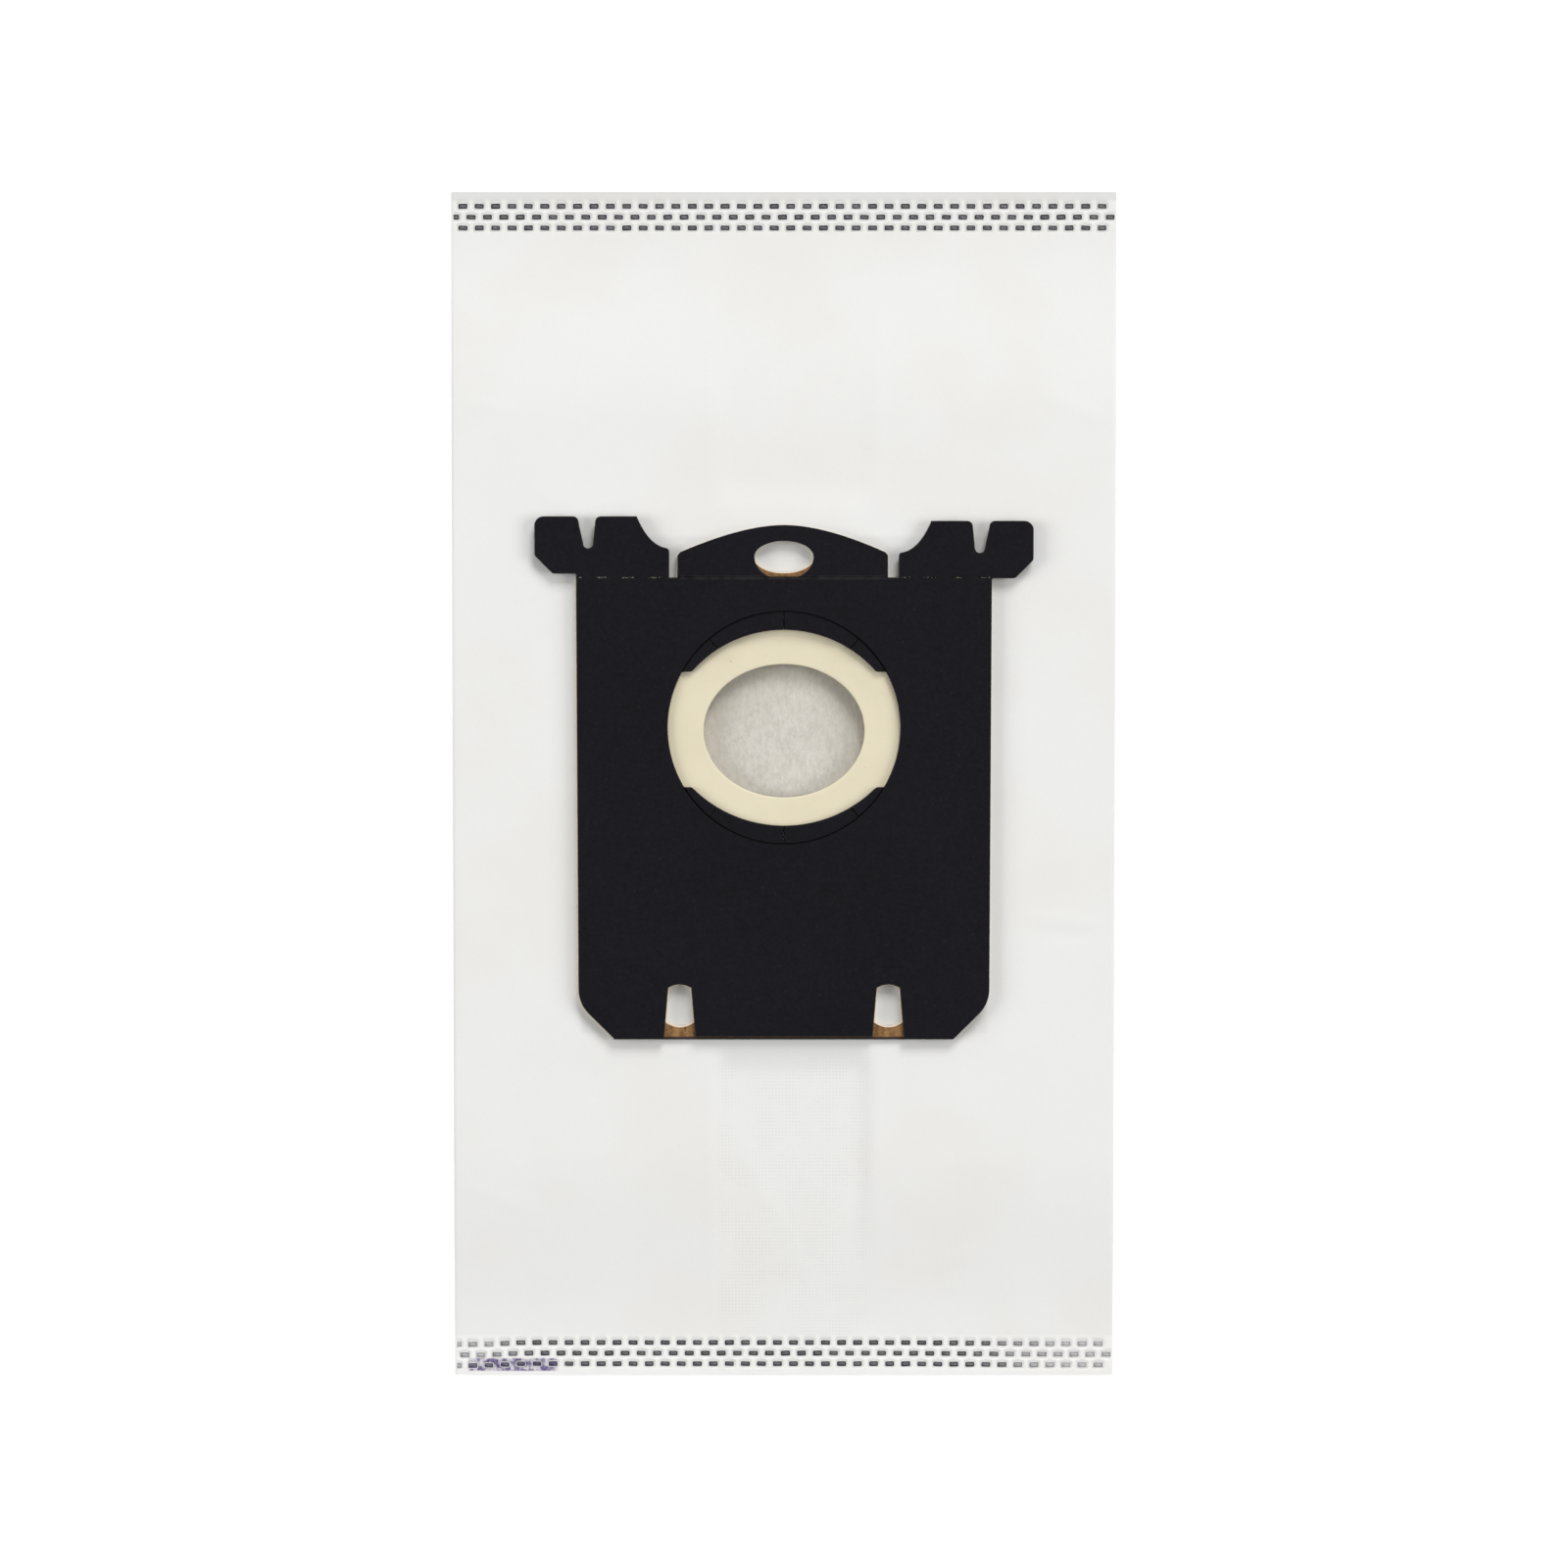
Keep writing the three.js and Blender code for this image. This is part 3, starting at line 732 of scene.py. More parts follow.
class Trace:
    """A flat outline that is drawn point by point, in millimetres from the inlet's centre."""

    def __init__(self, x: float, y: float) -> None:
        """Starts at a point."""
        self.points: Loop = [(x, y)]

    def line(self, x: float, y: float) -> None:
        """A straight line to a point."""
        self.points.append((x, y))

    def bend(self, cx: float, cy: float, x: float, y: float, steps: int = 14) -> None:
        """A curve to x and y, pulled towards cx and cy.

        Args:
            cx: the pulling point, across.
            cy: the pulling point, along.
            x: the end across.
            y: the end along.
            steps: straight steps.
        """
        ax, ay = self.points[-1]
        for t in (np.arange(steps) + 1) / steps:
            first, second, third = (1 - t) ** 2, 2 * t * (1 - t), t * t
            self.line(first * ax + second * cx + third * x, first * ay + second * cy + third * y)

    def corner(self, x: float, y: float, before: Point, after: Point, steps: int = 4) -> None:
        """A line towards a corner and a bend round it, which start and end at shifts from it."""
        self.line(x + before[0], y + before[1])
        self.bend(x, y, x + after[0], y + after[1], steps)

    def arc(self, centre: Point, radii: Point, start: float, end: float, steps: int = 12) -> None:
        """An arc about a centre between two angles, whose first point is joined by a line."""
        for turn in np.linspace(start, end, steps + 1):
            self.line(centre[0] + radii[0] * math.cos(turn), centre[1] + radii[1] * math.sin(turn))

    def loop(self, dx: float = 0.0, dy: float = 0.0, mirror: bool = False) -> Loop:
        """The outline without repeated points.

        Args:
            dx: shift across.
            dy: shift along.
            mirror: swaps left and right.

        Returns:
            The points.
        """
        kept: Loop = []
        for x, y in self.points:
            place = ((-x if mirror else x) + dx, y + dy)
            if not kept or math.dist(kept[-1], place) > JOIN:
                kept.append(place)
        if math.dist(kept[0], kept[-1]) <= JOIN:
            kept.pop()
        return kept


def turned(loop: Loop, hole: bool) -> Loop:
    """The loop with the board on its left: an outline anticlockwise, a hole clockwise.

    Args:
        loop: the points.
        hole: whether it is a hole.

    Returns:
        The points in that order.
    """
    x, y = np.array(loop).T
    area = float(np.sum(x * np.roll(y, -1) - np.roll(x, -1) * y))
    return loop if (area > 0) != hole else loop[::-1]


def shrunk(loop: Loop, inset: float) -> Rows:
    """The loop moved towards the board.

    Args:
        loop: the points, with the board on their left.
        inset: how far.

    Returns:
        The moved points.
    """
    at = np.array(loop)
    ahead = np.roll(at, -1, 0) - at
    ahead /= np.linalg.norm(ahead, axis=1)[:, None]
    behind = np.roll(ahead, 1, 0)
    normals = np.stack([-ahead[:, 1] - behind[:, 1], ahead[:, 0] + behind[:, 0]], 1)
    length = np.linalg.norm(normals, axis=1)[:, None]
    return at + normals / np.maximum(length, 1e-6) * inset / np.clip(length / 2, 0.6, 1.0)


def within(places: Rows, loop: Rows) -> Rows:
    """Whether places lie inside a loop.

    Args:
        places: the places.
        loop: the loop's points.

    Returns:
        True for each place inside.
    """
    x, y = places[:, :1], places[:, 1:]
    ax, ay = loop.T
    bx, by = np.roll(loop, -1, 0).T
    rise = np.where(by == ay, 1e-12, by - ay)
    crossed = ((ay > y) != (by > y)) & (x < (bx - ax) * (y - ay) / rise + ax)
    return crossed.sum(1) % 2 == 1


def filled(loops: list[Rows]) -> list[Face]:
    """Triangles that fill an outline and leave its holes open.

    Args:
        loops: the outline and the holes.

    Returns:
        The triangles, anticlockwise, as numbers of the loops' points.
    """
    points = np.concatenate(loops)
    edges, first = [], 0
    for loop in loops:
        edges += [(first + i, first + (i + 1) % len(loop)) for i in range(len(loop))]
        first += len(loop)
    made = delaunay_2d_cdt([Vector(p) for p in points], edges, [], 0, 1e-7)
    given = [origin[0] for origin in made[3]]
    triangles = np.array([[given[i] for i in face] for face in made[2]])
    middles = points[triangles].mean(1)
    inside = sum(within(middles, loop).astype(int) for loop in loops) == 1
    a, b, c = (points[triangles[inside, k]] for k in range(3))
    left = (b[:, 0] - a[:, 0]) * (c[:, 1] - a[:, 1]) > (b[:, 1] - a[:, 1]) * (c[:, 0] - a[:, 0])
    return [tuple(int(k) for k in (t if up else t[::-1])) for t, up in zip(triangles[inside], left)]


def bands(starts: list[int], count: int) -> list[Face]:
    """Faces between rings of a count of points each, which begin at the starts."""
    pairs = [(i, (i + 1) % count) for i in range(count)]
    return [(a + i, a + j, b + j, b + i) for a, b in zip(starts, starts[1:]) for i, j in pairs]


@dataclass
class Board:
    """A punched board: flat faces, plumb walls and a soft upper edge."""

    name: str
    outline: Loop
    holes: list[Loop]
    bottom: float
    top: float
    edge: float = 0.16
    rim_width: float = 0.0
    dark_below: float = -1000.0
    steps: int = 3

    def _levels(self) -> list[tuple[float, float, int]]:
        """Inset, height and material of each ring, from the bottom to the top.

        Returns:
            One entry for each ring.
        """
        small, shoulder = self.edge * 0.4, self.top - self.edge
        levels = [(small, self.bottom, 1), (0.0, self.bottom + small, 1), (0.0, shoulder, 1)]
        for turn in QUARTER * np.arange(1, self.steps + 1) / self.steps:
            levels.append((self.edge * (1 - math.cos(turn)), shoulder + self.edge * math.sin(turn), 1))
        if self.rim_width:
            levels.append((self.edge + self.rim_width, self.top, 0))
        return levels

    def build(self, *materials: Material) -> Object:
        """Builds the board; with a rim width, the attribute "rim" marks its outer edge.

        Args:
            materials: those of its faces and of its punched edges.

        Returns:
            The board's object.
        """
        loops = [turned(self.outline, False)] + [turned(hole, True) for hole in self.holes]
        levels, total = self._levels(), 0
        points, faces, indices, starts = [], [], [], []
        for loop in loops:
            count, along = len(loop), np.array(loop)[:, 1]
            points += [np.column_stack([shrunk(loop, inset), np.full(count, z)]) for inset, z, _ in levels]
            starts.append([total + count * ring for ring in range(len(levels))])
            total += count * len(levels)
            faces += bands(starts[-1], count)
            dark = (np.maximum(along, np.roll(along, -1)) < self.dark_below) & (loop is loops[0])
            indices += [0 if shut else index for _, _, index in levels[1:] for shut in dark]
        for ring in (-1, 0):
            order = [rings[ring] + i for loop, rings in zip(loops, starts) for i in range(len(loop))]
            for corners in filled([shrunk(loop, levels[ring][0]) for loop in loops]):
                lid = tuple(order[i] for i in corners)
                faces.append(lid if ring else lid[::-1])
        indices += [0] * (len(faces) - len(indices))
        piece = made_mesh(self.name, np.concatenate(points), faces, list(materials), indices)
        piece.data.polygons.foreach_set("use_smooth", [index > 0 for index in indices])
        if self.rim_width:
            values, rings = np.zeros(total, np.float32), starts[0]
            values[rings[0] : rings[-1]] = 1.0
            values[rings[-1] : rings[-1] + len(loops[0])] = 0.1
            mark(piece, "rim", values)
        return piece


def swept(name: str, path: Rows, profile: Loop, material: Material) -> Object:
    """A closed bar along a flat path, for cutting a groove.

    Args:
        name: its name.
        path: points along it, across and along.
        profile: points of its section, sideways and up.
        material: the groove's material.

    Returns:
        The bar.
    """
    ahead = np.gradient(path, axis=0)
    ahead /= np.linalg.norm(ahead, axis=1)[:, None]
    sideways = np.stack([ahead[:, 1], -ahead[:, 0]], 1)
    points = [(*(p + s * w), h) for p, s in zip(path, sideways) for w, h in profile]
    count = len(profile)
    starts = [i * count for i in range(len(path))]
    ends = [tuple(reversed(range(count))), tuple(starts[-1] + i for i in range(count))]
    return turned_out(made_mesh(name, points, ends + bands(starts, count), [material]))


def oval(radii: Point, centre: Point, steps: int) -> Loop:
    """A round or oval loop.

    Args:
        radii: its radii across and along.
        centre: its centre.
        steps: straight steps.

    Returns:
        The closed outline.
    """
    trace = Trace(centre[0] + radii[0], centre[1])
    trace.arc(centre, radii, 0, math.tau, steps)
    return trace.loop()


def rounded(size: Point, corner: float, centre: Point, steps: int) -> Loop:
    """A rectangle with rounded corners.

    Args:
        size: its width and height.
        corner: the corners' radius.
        centre: its centre.
        steps: straight steps in each corner.

    Returns:
        The closed outline.
    """
    x, y = size[0] / 2 - corner, size[1] / 2 - corner
    trace = Trace(centre[0] + x + corner, centre[1] + y)
    for turn, (sx, sy) in enumerate(((1, 1), (-1, 1), (-1, -1), (1, -1))):
        middle = (centre[0] + sx * x, centre[1] + sy * y)
        trace.arc(middle, (corner, corner), turn * QUARTER, (turn + 1) * QUARTER, steps)
    return trace.loop()


# The collar


@dataclass
class Collar:
    """The two glued boards and the rubber sheet between them; heights are from the inlet's centre."""

    inlet_y: float = 14.5
    thickness: float = 1.1
    glue: float = 0.1
    rear_bottom: float = 3.55
    width: float = 100.0
    crease_rise: float = 36.2
    foot_drop: float = 75.3
    middle_rise: float = 0.65
    foot_taper: float = 0.4
    corner_cut: Point = (8.7, 8.6)
    corner_blend: float = 3.7
    rear_slip: Point = (-0.3, -0.15)
    ear_span: float = 120.0
    ear_height: float = 14.7
    heel_rise: float = 0.9
    heel_cut: float = 4.4
    outer_radius: float = 2.2
    notch_width: float = 4.0
    notch_depth: float = 7.7
    notch_x: float = 47.4
    notch_lean: float = 0.3
    notch_foot: float = 1.2
    prong: float = 1.4
    inner_top: float = 35.4
    flank_rise: float = 7.1
    flank_bend: float = 0.64
    flank_corner: float = 0.8
    tab_gap: float = 2.3
    right_drop: float = 1.1
    tab_width: float = 50.6
    tab_shift: float = -0.3
    tab_side: float = 5.8
    tab_height: float = 12.6
    crown_reach: float = 9.9
    finger: Point = (14.2, 7.5)
    finger_rise: float = 5.0
    finger_flat: float = 0.2
    finger_lower: float = 5.5
    crease: Point = (0.5, 0.25)
    cut_pitch: float = 6.45
    cut_length: float = 3.3
    cut_width: float = 0.35
    left_cut_start: float = 3.3
    right_cut_start: float = 1.05
    cut_end: float = 0.5
    inlet_radius: float = 28.0
    flap_end: float = 13.9
    flap_drop: float = 0.4
    flap_reach: float = 22.2
    flap_depth: float = 4.4
    score: Point = (0.4, 0.4)
    slit: float = 0.3
    slit_angle: float = 40.0
    mouth_radius: float = 24.0
    slot_spacing: float = 50.4
    slot_top: float = 5.6
    slot_foot: float = 7.6
    slot_height: float = 13.3
    slot_crown: float = 0.8
    rear_inset: float = 0.3
    rear_web: float = 3.1
    rear_sag: float = 1.05
    rear_rim: float = 0.6
    rear_edge: float = 0.3
    seat: Point = (68.6, 64.6)
    seat_corner: float = 5.0
    rubber: float = 0.6
    front_bottom: float = field(init=False)
    front_top: float = field(init=False)
    rear_top: float = field(init=False)

    def __post_init__(self) -> None:
        """Works out the levels."""
        self.rear_top = self.rear_bottom + self.thickness
        self.front_bottom = self.rear_top + self.glue
        self.front_top = self.front_bottom + self.thickness

    def _body_side(self, slotted: bool) -> Trace:
        """The lower edge and the side, from the axis up to the fold line.

        Args:
            slotted: whether slots open the lower edge.

        Returns:
            The trace so far.
        """
        side, foot = self.width / 2 - self.foot_taper, -self.foot_drop
        trace = Trace(0, foot + self.middle_rise if slotted else foot)
        if slotted:
            middle, half, crown = self.slot_spacing / 2, self.slot_top / 2, self.slot_crown
            top = foot + self.slot_height
            trace.line(middle - self.slot_foot / 2, foot + self.middle_rise)
            trace.corner(middle, top + crown, (-half, -2 * crown), (half, -2 * crown), 14)
            trace.line(middle + self.slot_foot / 2, foot)
        wide, high = self.corner_cut
        trace.line(side - wide, foot)
        along = self.corner_blend / math.hypot(1, high / wide)
        trace.corner(side, foot + high, (-along, -high / wide * along), (0, self.corner_blend), 14)
        return trace

    def _tab(self, trace: Trace, way: int) -> None:
        """Adds the handle tab, from its foot to its crown on the axis.

        Args:
            trace: the trace.
            way: 1 on the right, -1 on the left.
        """
        reach = self.tab_width / 2 + way * self.tab_shift
        crown, corner = self.crease_rise + self.tab_height, self.crease_rise + self.tab_side
        trace.line(reach, self.crease_rise)
        trace.line(reach, corner - 0.5)
        trace.line(reach - 0.6, corner + 0.27)
        trace.bend(self.crown_reach, crown, 0, crown, 28)

    def _ear(self, trace: Trace, drop: float) -> None:
        """Adds an ear with its notch.

        Args:
            trace: the trace.
            drop: how much lower this ear sits.
        """
        base, tip = self.crease_rise - drop, self.ear_span / 2
        heel, top, flank = base + self.heel_rise, base + self.ear_height, base + self.flank_rise
        right, left = self.notch_x + self.notch_width / 2, self.notch_x - self.notch_width / 2
        foot_x, foot_y = self.notch_x - self.notch_lean, top - self.notch_depth
        inner, corner = self.tab_width / 2 + self.tab_gap, self.flank_corner
        outer, prong, foot = self.outer_radius, self.prong, self.notch_foot
        trace.corner(self.width / 2, heel, (0, -0.5), (0.5, 0))
        trace.corner(tip - self.heel_cut, heel, (-0.5, 0), (0.4, 0.4))
        trace.corner(tip, heel + self.heel_cut, (-0.4, -0.4), (0, 0.5))
        trace.arc((tip - outer, top - outer), (outer, outer), 0, QUARTER)
        trace.arc((right + prong, top - prong), (prong, prong), QUARTER, 2 * QUARTER)
        trace.arc((foot_x, foot_y + foot), (foot, foot), 0, -2 * QUARTER)
        trace.arc((left - prong, top - prong), (prong, prong), 0, QUARTER)
        trace.line(self.inner_top, top)
        bend_x = inner + self.flank_bend * (self.inner_top - inner)
        trace.bend(bend_x, flank + corner, inner + corner, flank, 20)
        trace.bend(inner, flank - 0.1, inner, flank - corner - 0.2, 5)
        trace.line(inner, self.crease_rise)

    def _outline(self, front: bool) -> Loop:
        """A board's outline; the rear board has slipped, and has no ears and no open slots.

        Args:
            front: whether it is the front board.

        Returns:
            The closed outline.
        """
        (dx, dy), halves = (0.0, 0.0) if front else self.rear_slip, []
        for way, drop in ((1, self.right_drop), (-1, 0)):
            half = self._body_side(front)
            if front:
                self._ear(half, drop)
            else:
                half.line(self.width / 2, self.crease_rise)
            self._tab(half, way)
            halves.append(half.loop(dx, self.inlet_y + dy, way < 0))
        return halves[0] + halves[1][1:-1][::-1]

    def _flap_end(self, way: int) -> Point:
        """How far above or below the inlet's centre a flap ends, and at which angle on the round edge."""
        height = self.flap_end - way * self.flap_drop
        return height, math.asin(height / self.inlet_radius)

    def _inlet(self) -> Loop:
        """The opening between the two crescent flaps.

        Returns:
            The closed outline.
        """
        radius, reach = self.inlet_radius, self.flap_reach
        edge_top = radius - self.flap_depth
        ends = {way: self._flap_end(way) for way in (1, -1)}
        trace = Trace(radius * math.cos(ends[-1][1]), -ends[-1][0])
        for way in (1, -1):
            base = 0 if way > 0 else math.pi
            height, end = ends[way]
            rise = edge_top - height
            sweep = (reach * reach + rise * rise) / (2 * rise)
            lean = math.asin(reach / sweep) - 0.03
            trace.arc((0, 0), (radius, radius), base - ends[-way][1], base + end, 30)
            trace.corner(way * reach, way * height, (way * 0.5, 0), (way * -0.32, way * 0.35), 5)
            crown = base + QUARTER
            trace.arc((0, way * (edge_top - sweep)), (sweep, sweep), crown - lean, crown + lean, 44)
            trace.bend(-way * reach, way * height, -way * (reach + 0.5), way * height, 5)
            trace.line(-way * radius * math.cos(end), way * height)
        return trace.loop(0, self.inlet_y)

    def _front_finger(self) -> Loop:
        """The front board's finger hole, cut flat near the fold line.

        Returns:
            The closed outline.
        """
        centre, half = (0, self.crease_rise + self.finger_rise), self.finger[0] / 2
        start = math.asin(min((self.finger_rise - self.finger_flat) / self.finger_lower, 1))
        trace = Trace(half * math.cos(start), centre[1] - self.finger_lower * math.sin(start))
        trace.arc(centre, (half, self.finger_lower), -start, 0, 14)
        trace.arc(centre, (half, self.finger[1] / 2), 0, math.pi, 28)
        trace.arc(centre, (half, self.finger_lower), math.pi, math.pi + start, 14)
        return trace.loop(0, self.inlet_y)

    def _rear_slot(self, way: int) -> Loop:
        """The rear board's closed slot.

        Args:
            way: 1 on the right, -1 on the left.

        Returns:
            The closed outline.
        """
        middle, front = way * self.slot_spacing / 2, -self.foot_drop
        top = front + self.slot_height - self.slot_crown - self.rear_inset
        foot = front + self.rear_web + self.rear_sag
        grow = (self.slot_foot - self.slot_top) * (1 - (foot - front) / self.slot_height)
        half_top = self.slot_top / 2 - self.rear_inset
        half_foot = (self.slot_top + grow) / 2 - self.rear_inset
        trace = Trace(middle - half_top, top)
        trace.line(middle - half_foot, foot)
        trace.bend(middle, foot - 2 * self.rear_sag, middle + half_foot, foot)
        trace.line(middle + half_top, top)
        trace.bend(middle, top + 2 * self.slot_crown, middle - half_top, top)
        return trace.loop(0, self.inlet_y)

    def _flat_bar(self, ends: tuple[Point, Point], width: float, cut: Cut, pinch: float,
                  material: Material) -> Object:
        """A straight bar that cuts the front board.

        Args:
            ends: its two ends, from the inlet's centre.
            width: the cut's width at the top.
            cut: whether it goes through.
            pinch: its width at the bottom, as a share.
            material: the cut's material.

        Returns:
            The bar.
        """
        path = np.linspace(ends[0], ends[1], 12) + np.array([0, self.inlet_y])
        low = self.front_bottom - 0.05 if cut is Cut.THROUGH else self.front_top - self.crease[1]
        half, foot, top = width / 2, width / 2 * pinch, self.front_top
        profile = [(-half, top), (-foot, low), (foot, low), (half, top)]
        profile += [(half, top + 1), (-half, top + 1)]
        return swept("cut", path, profile, material)

    def _cuts(self, black: Material, torn: Material) -> list[Object]:
        """The cutters of the score lines, slits, perforations and the pressed fold.

        Args:
            black: the face's material, for pressed lines and closed slits.
            torn: the perforations' material.

        Returns:
            The cutters.
        """
        bars, radius, top = [], self.inlet_radius, self.front_top
        wide, narrow, low = self.score[0] * 0.6, self.score[0] * 0.3, top - self.score[1]
        profile = [(-wide, top), (-narrow, low), (narrow, low), (wide, top)]
        profile += [(wide, top + 1), (-wide, top + 1)]
        inner = radius - 2 * self.flap_depth
        for way in (1, -1):
            base = 0 if way > 0 else math.pi
            start = self._flap_end(way)[1] - self.score[0] / radius
            turns = np.linspace(base + start, base + math.pi - start, 60)
            arc = np.stack([np.cos(turns) * radius, np.sin(turns) * radius + self.inlet_y], 1)
            bars.append(swept("score", arc, profile, black))
            for step in (-1, 0, 1):
                turn = math.radians(step * self.slit_angle)
                ray = np.array([math.sin(turn), way * math.cos(turn)])
                ends = (tuple(ray * inner), tuple(ray * radius))
                bars.append(self._flat_bar(ends, self.slit, Cut.THROUGH, 0.12, black))
        for way, pinch in ((1, 0.15), (-1, 0.35)):
            for left, right in self.perforations(way):
                ends = ((way * left, self.crease_rise), (way * right, self.crease_rise))
                bars.append(self._flat_bar(ends, self.cut_width, Cut.THROUGH, pinch, torn))
        reach = self.tab_width / 2 + 0.25
        ends = ((-reach, self.crease_rise), (reach, self.crease_rise))
        return bars + [self._flat_bar(ends, self.crease[0], Cut.SCORE, 0.45, black)]

    def perforations(self, way: int) -> list[Point]:
        """Where each perforation of one ear starts and ends, from the axis outwards.

        Args:
            way: 1 on the right, -1 on the left.

        Returns:
            The starts and ends.
        """
        slit, half = self.tab_width / 2 + self.tab_gap, self.cut_length / 2
        place = slit + (self.right_cut_start if way > 0 else self.left_cut_start)
        last, spans = self.width / 2 - self.cut_end, []
        while place - half < last - self.cut_width:
            spans.append((max(place - half, slit + self.cut_end), min(place + half, last)))
            place += self.cut_pitch
        return spans

    def front_plate(self, face: Material, edge: Material) -> Object:
        """Builds the black board with its cuts.

        Args:
            face: the black face's material.
            edge: the punched edge's material.

        Returns:
            The front board.
        """
        holes = [self._inlet(), self._front_finger()]
        board = Board("front_plate", self._outline(True), holes, self.front_bottom, self.front_top)
        return cut_away(board.build(face, edge), self._cuts(face, edge))

    def rear_plate(self, face: Material, edge: Material) -> Object:
        """Builds the kraft board with the seat of the rubber.

        Args:
            face: the kraft face's material.
            edge: the cream cut edge's material.

        Returns:
            The rear board.
        """
        slip = (self.rear_slip[0], self.rear_slip[1] + self.inlet_y)
        mouth = oval((self.mouth_radius, self.mouth_radius), slip, 120)
        finger = (self.finger[0] / 2, self.finger[1] / 2)
        finger = oval(finger, (0, self.crease_rise + self.finger_rise + self.inlet_y), 60)
        holes = [mouth, finger, self._rear_slot(1), self._rear_slot(-1)]
        board = Board("rear_plate", self._outline(False), holes, self.rear_bottom, self.rear_top,
                      self.rear_edge, self.rear_rim, self.inlet_y - self.foot_drop + 1)
        plate = board.build(face, edge)
        outline = rounded(self.seat, self.seat_corner, (0, self.inlet_y), 6)
        seat = Board("seat", outline, [], self.rear_top - self.rubber - self.glue, self.rear_top + 1)
        return cut_away(plate, [seat.build(edge, edge)])


@dataclass
class Seal:
    """The cream rubber sheet with its oval hole."""

    size: Point = (68.0, 64.0)
    corner: float = 5.0
    hole: Point = (38.8, 32.1)
    hole_centre: Point = (0.0, 13.7)
    centre: Point = (0.0, 14.5)
    thickness: float = 0.6
    top: float = 4.65
    free_radius: float = 24.0
    sag: float = 0.5
    around: int = 240

    def _outer(self, turn: float) -> Point:
        """The sheet's edge in a direction.

        Args:
            turn: the direction from the sheet's centre.

        Returns:
            The place on the edge.
        """
        half = np.array(self.size) / 2 - self.corner
        ray = np.array([math.cos(turn), math.sin(turn)])
        low, high = 0.0, 60.0
        for _ in range(40):
            middle = (low + high) / 2
            beyond = np.maximum(np.abs(ray * middle) - half, 0)
            low, high = (middle, high) if np.hypot(*beyond) < self.corner else (low, middle)
        return tuple(ray * low + np.array(self.centre))

    def _ring(self, inner: Rows, outer: Rows, share: Rows | float, height: float) -> Rows:
        """One ring of the sheet.

        Args:
            inner: the hole's edge.
            outer: the sheet's edge.
            share: how far out the ring lies between them.
            height: its level.

        Returns:
            The ring's points.
        """
        flat = inner + (outer - inner) * share
        away = np.linalg.norm(flat - np.array(self.centre), axis=1)
        free = 1 - ease(away - self.free_radius + 3, 3)
        edge = np.linalg.norm(flat - inner, axis=1)
        upper = np.clip((flat[:, 1] - self.centre[1]) / np.maximum(away, 1), 0, 1)
        sag = self.sag * (0.3 + 0.7 * upper) * (1 - ease(away - self.free_radius + 1.6, 1.6))
        sway = 0.1 * free * (fan_noise(*flat.T, 16, 5) - np.exp(-edge / 6))
        return np.column_stack([flat, height + sway - sag])

    def build(self, rubber: Material) -> Object:
        """Builds the sheet as rings from the hole outwards, over the top and back underneath.

        Args:
            rubber: its material.

        Returns:
            The sheet.
        """
        turns = np.linspace(0, math.tau, self.around, endpoint=False)
        inner = np.stack([np.cos(turns), np.sin(turns)], 1) * np.array(self.hole) / 2 + self.hole_centre
        outer = np.array([self._outer(t) for t in turns])
        reach = np.linalg.norm(outer - inner, axis=1)[:, None]
        radius = self.thickness / 2
        levels = []
        for turn in np.linspace(-QUARTER, QUARTER, 7):
            height = self.top - radius + radius * math.sin(turn)
            levels.append((radius * 0.7 * (1 - math.cos(turn)) / reach, height))
        shares = [0.035, 0.07, 0.13, 0.22, 0.35, 0.5, 0.65, 0.8, 0.95, 1.0]
        levels += [(share, self.top) for share in shares]
        levels += [(share, self.top - self.thickness) for share in reversed(shares)]
        points = np.concatenate([self._ring(inner, outer, *level) for level in levels])
        starts = [ring * self.around for ring in range(len(levels))] + [0]
        return smooth(turned_out(made_mesh("seal_sheet", points, bands(starts, self.around), [rubber])))


# The sleeve: each crease's start and end, its height and its spread
CREASES = (
    ((55, -31), (79, -33), 0.16, 1.1),
    ((58, -36), (79, -35), -0.14, 1.2),
    ((-79, 93), (-62, 91), 0.14, 1.2),
    ((-15, -78), (12, -130), 0.16, 1.6),
    ((-79, -96), (-58, -104), 0.12, 1.8),
    ((60, 96), (79, 88), 0.12, 1.7),
    ((26, -118), (52, -112), 0.1, 2.0),
    ((-44, 118), (-24, 124), 0.1, 1.8),
)


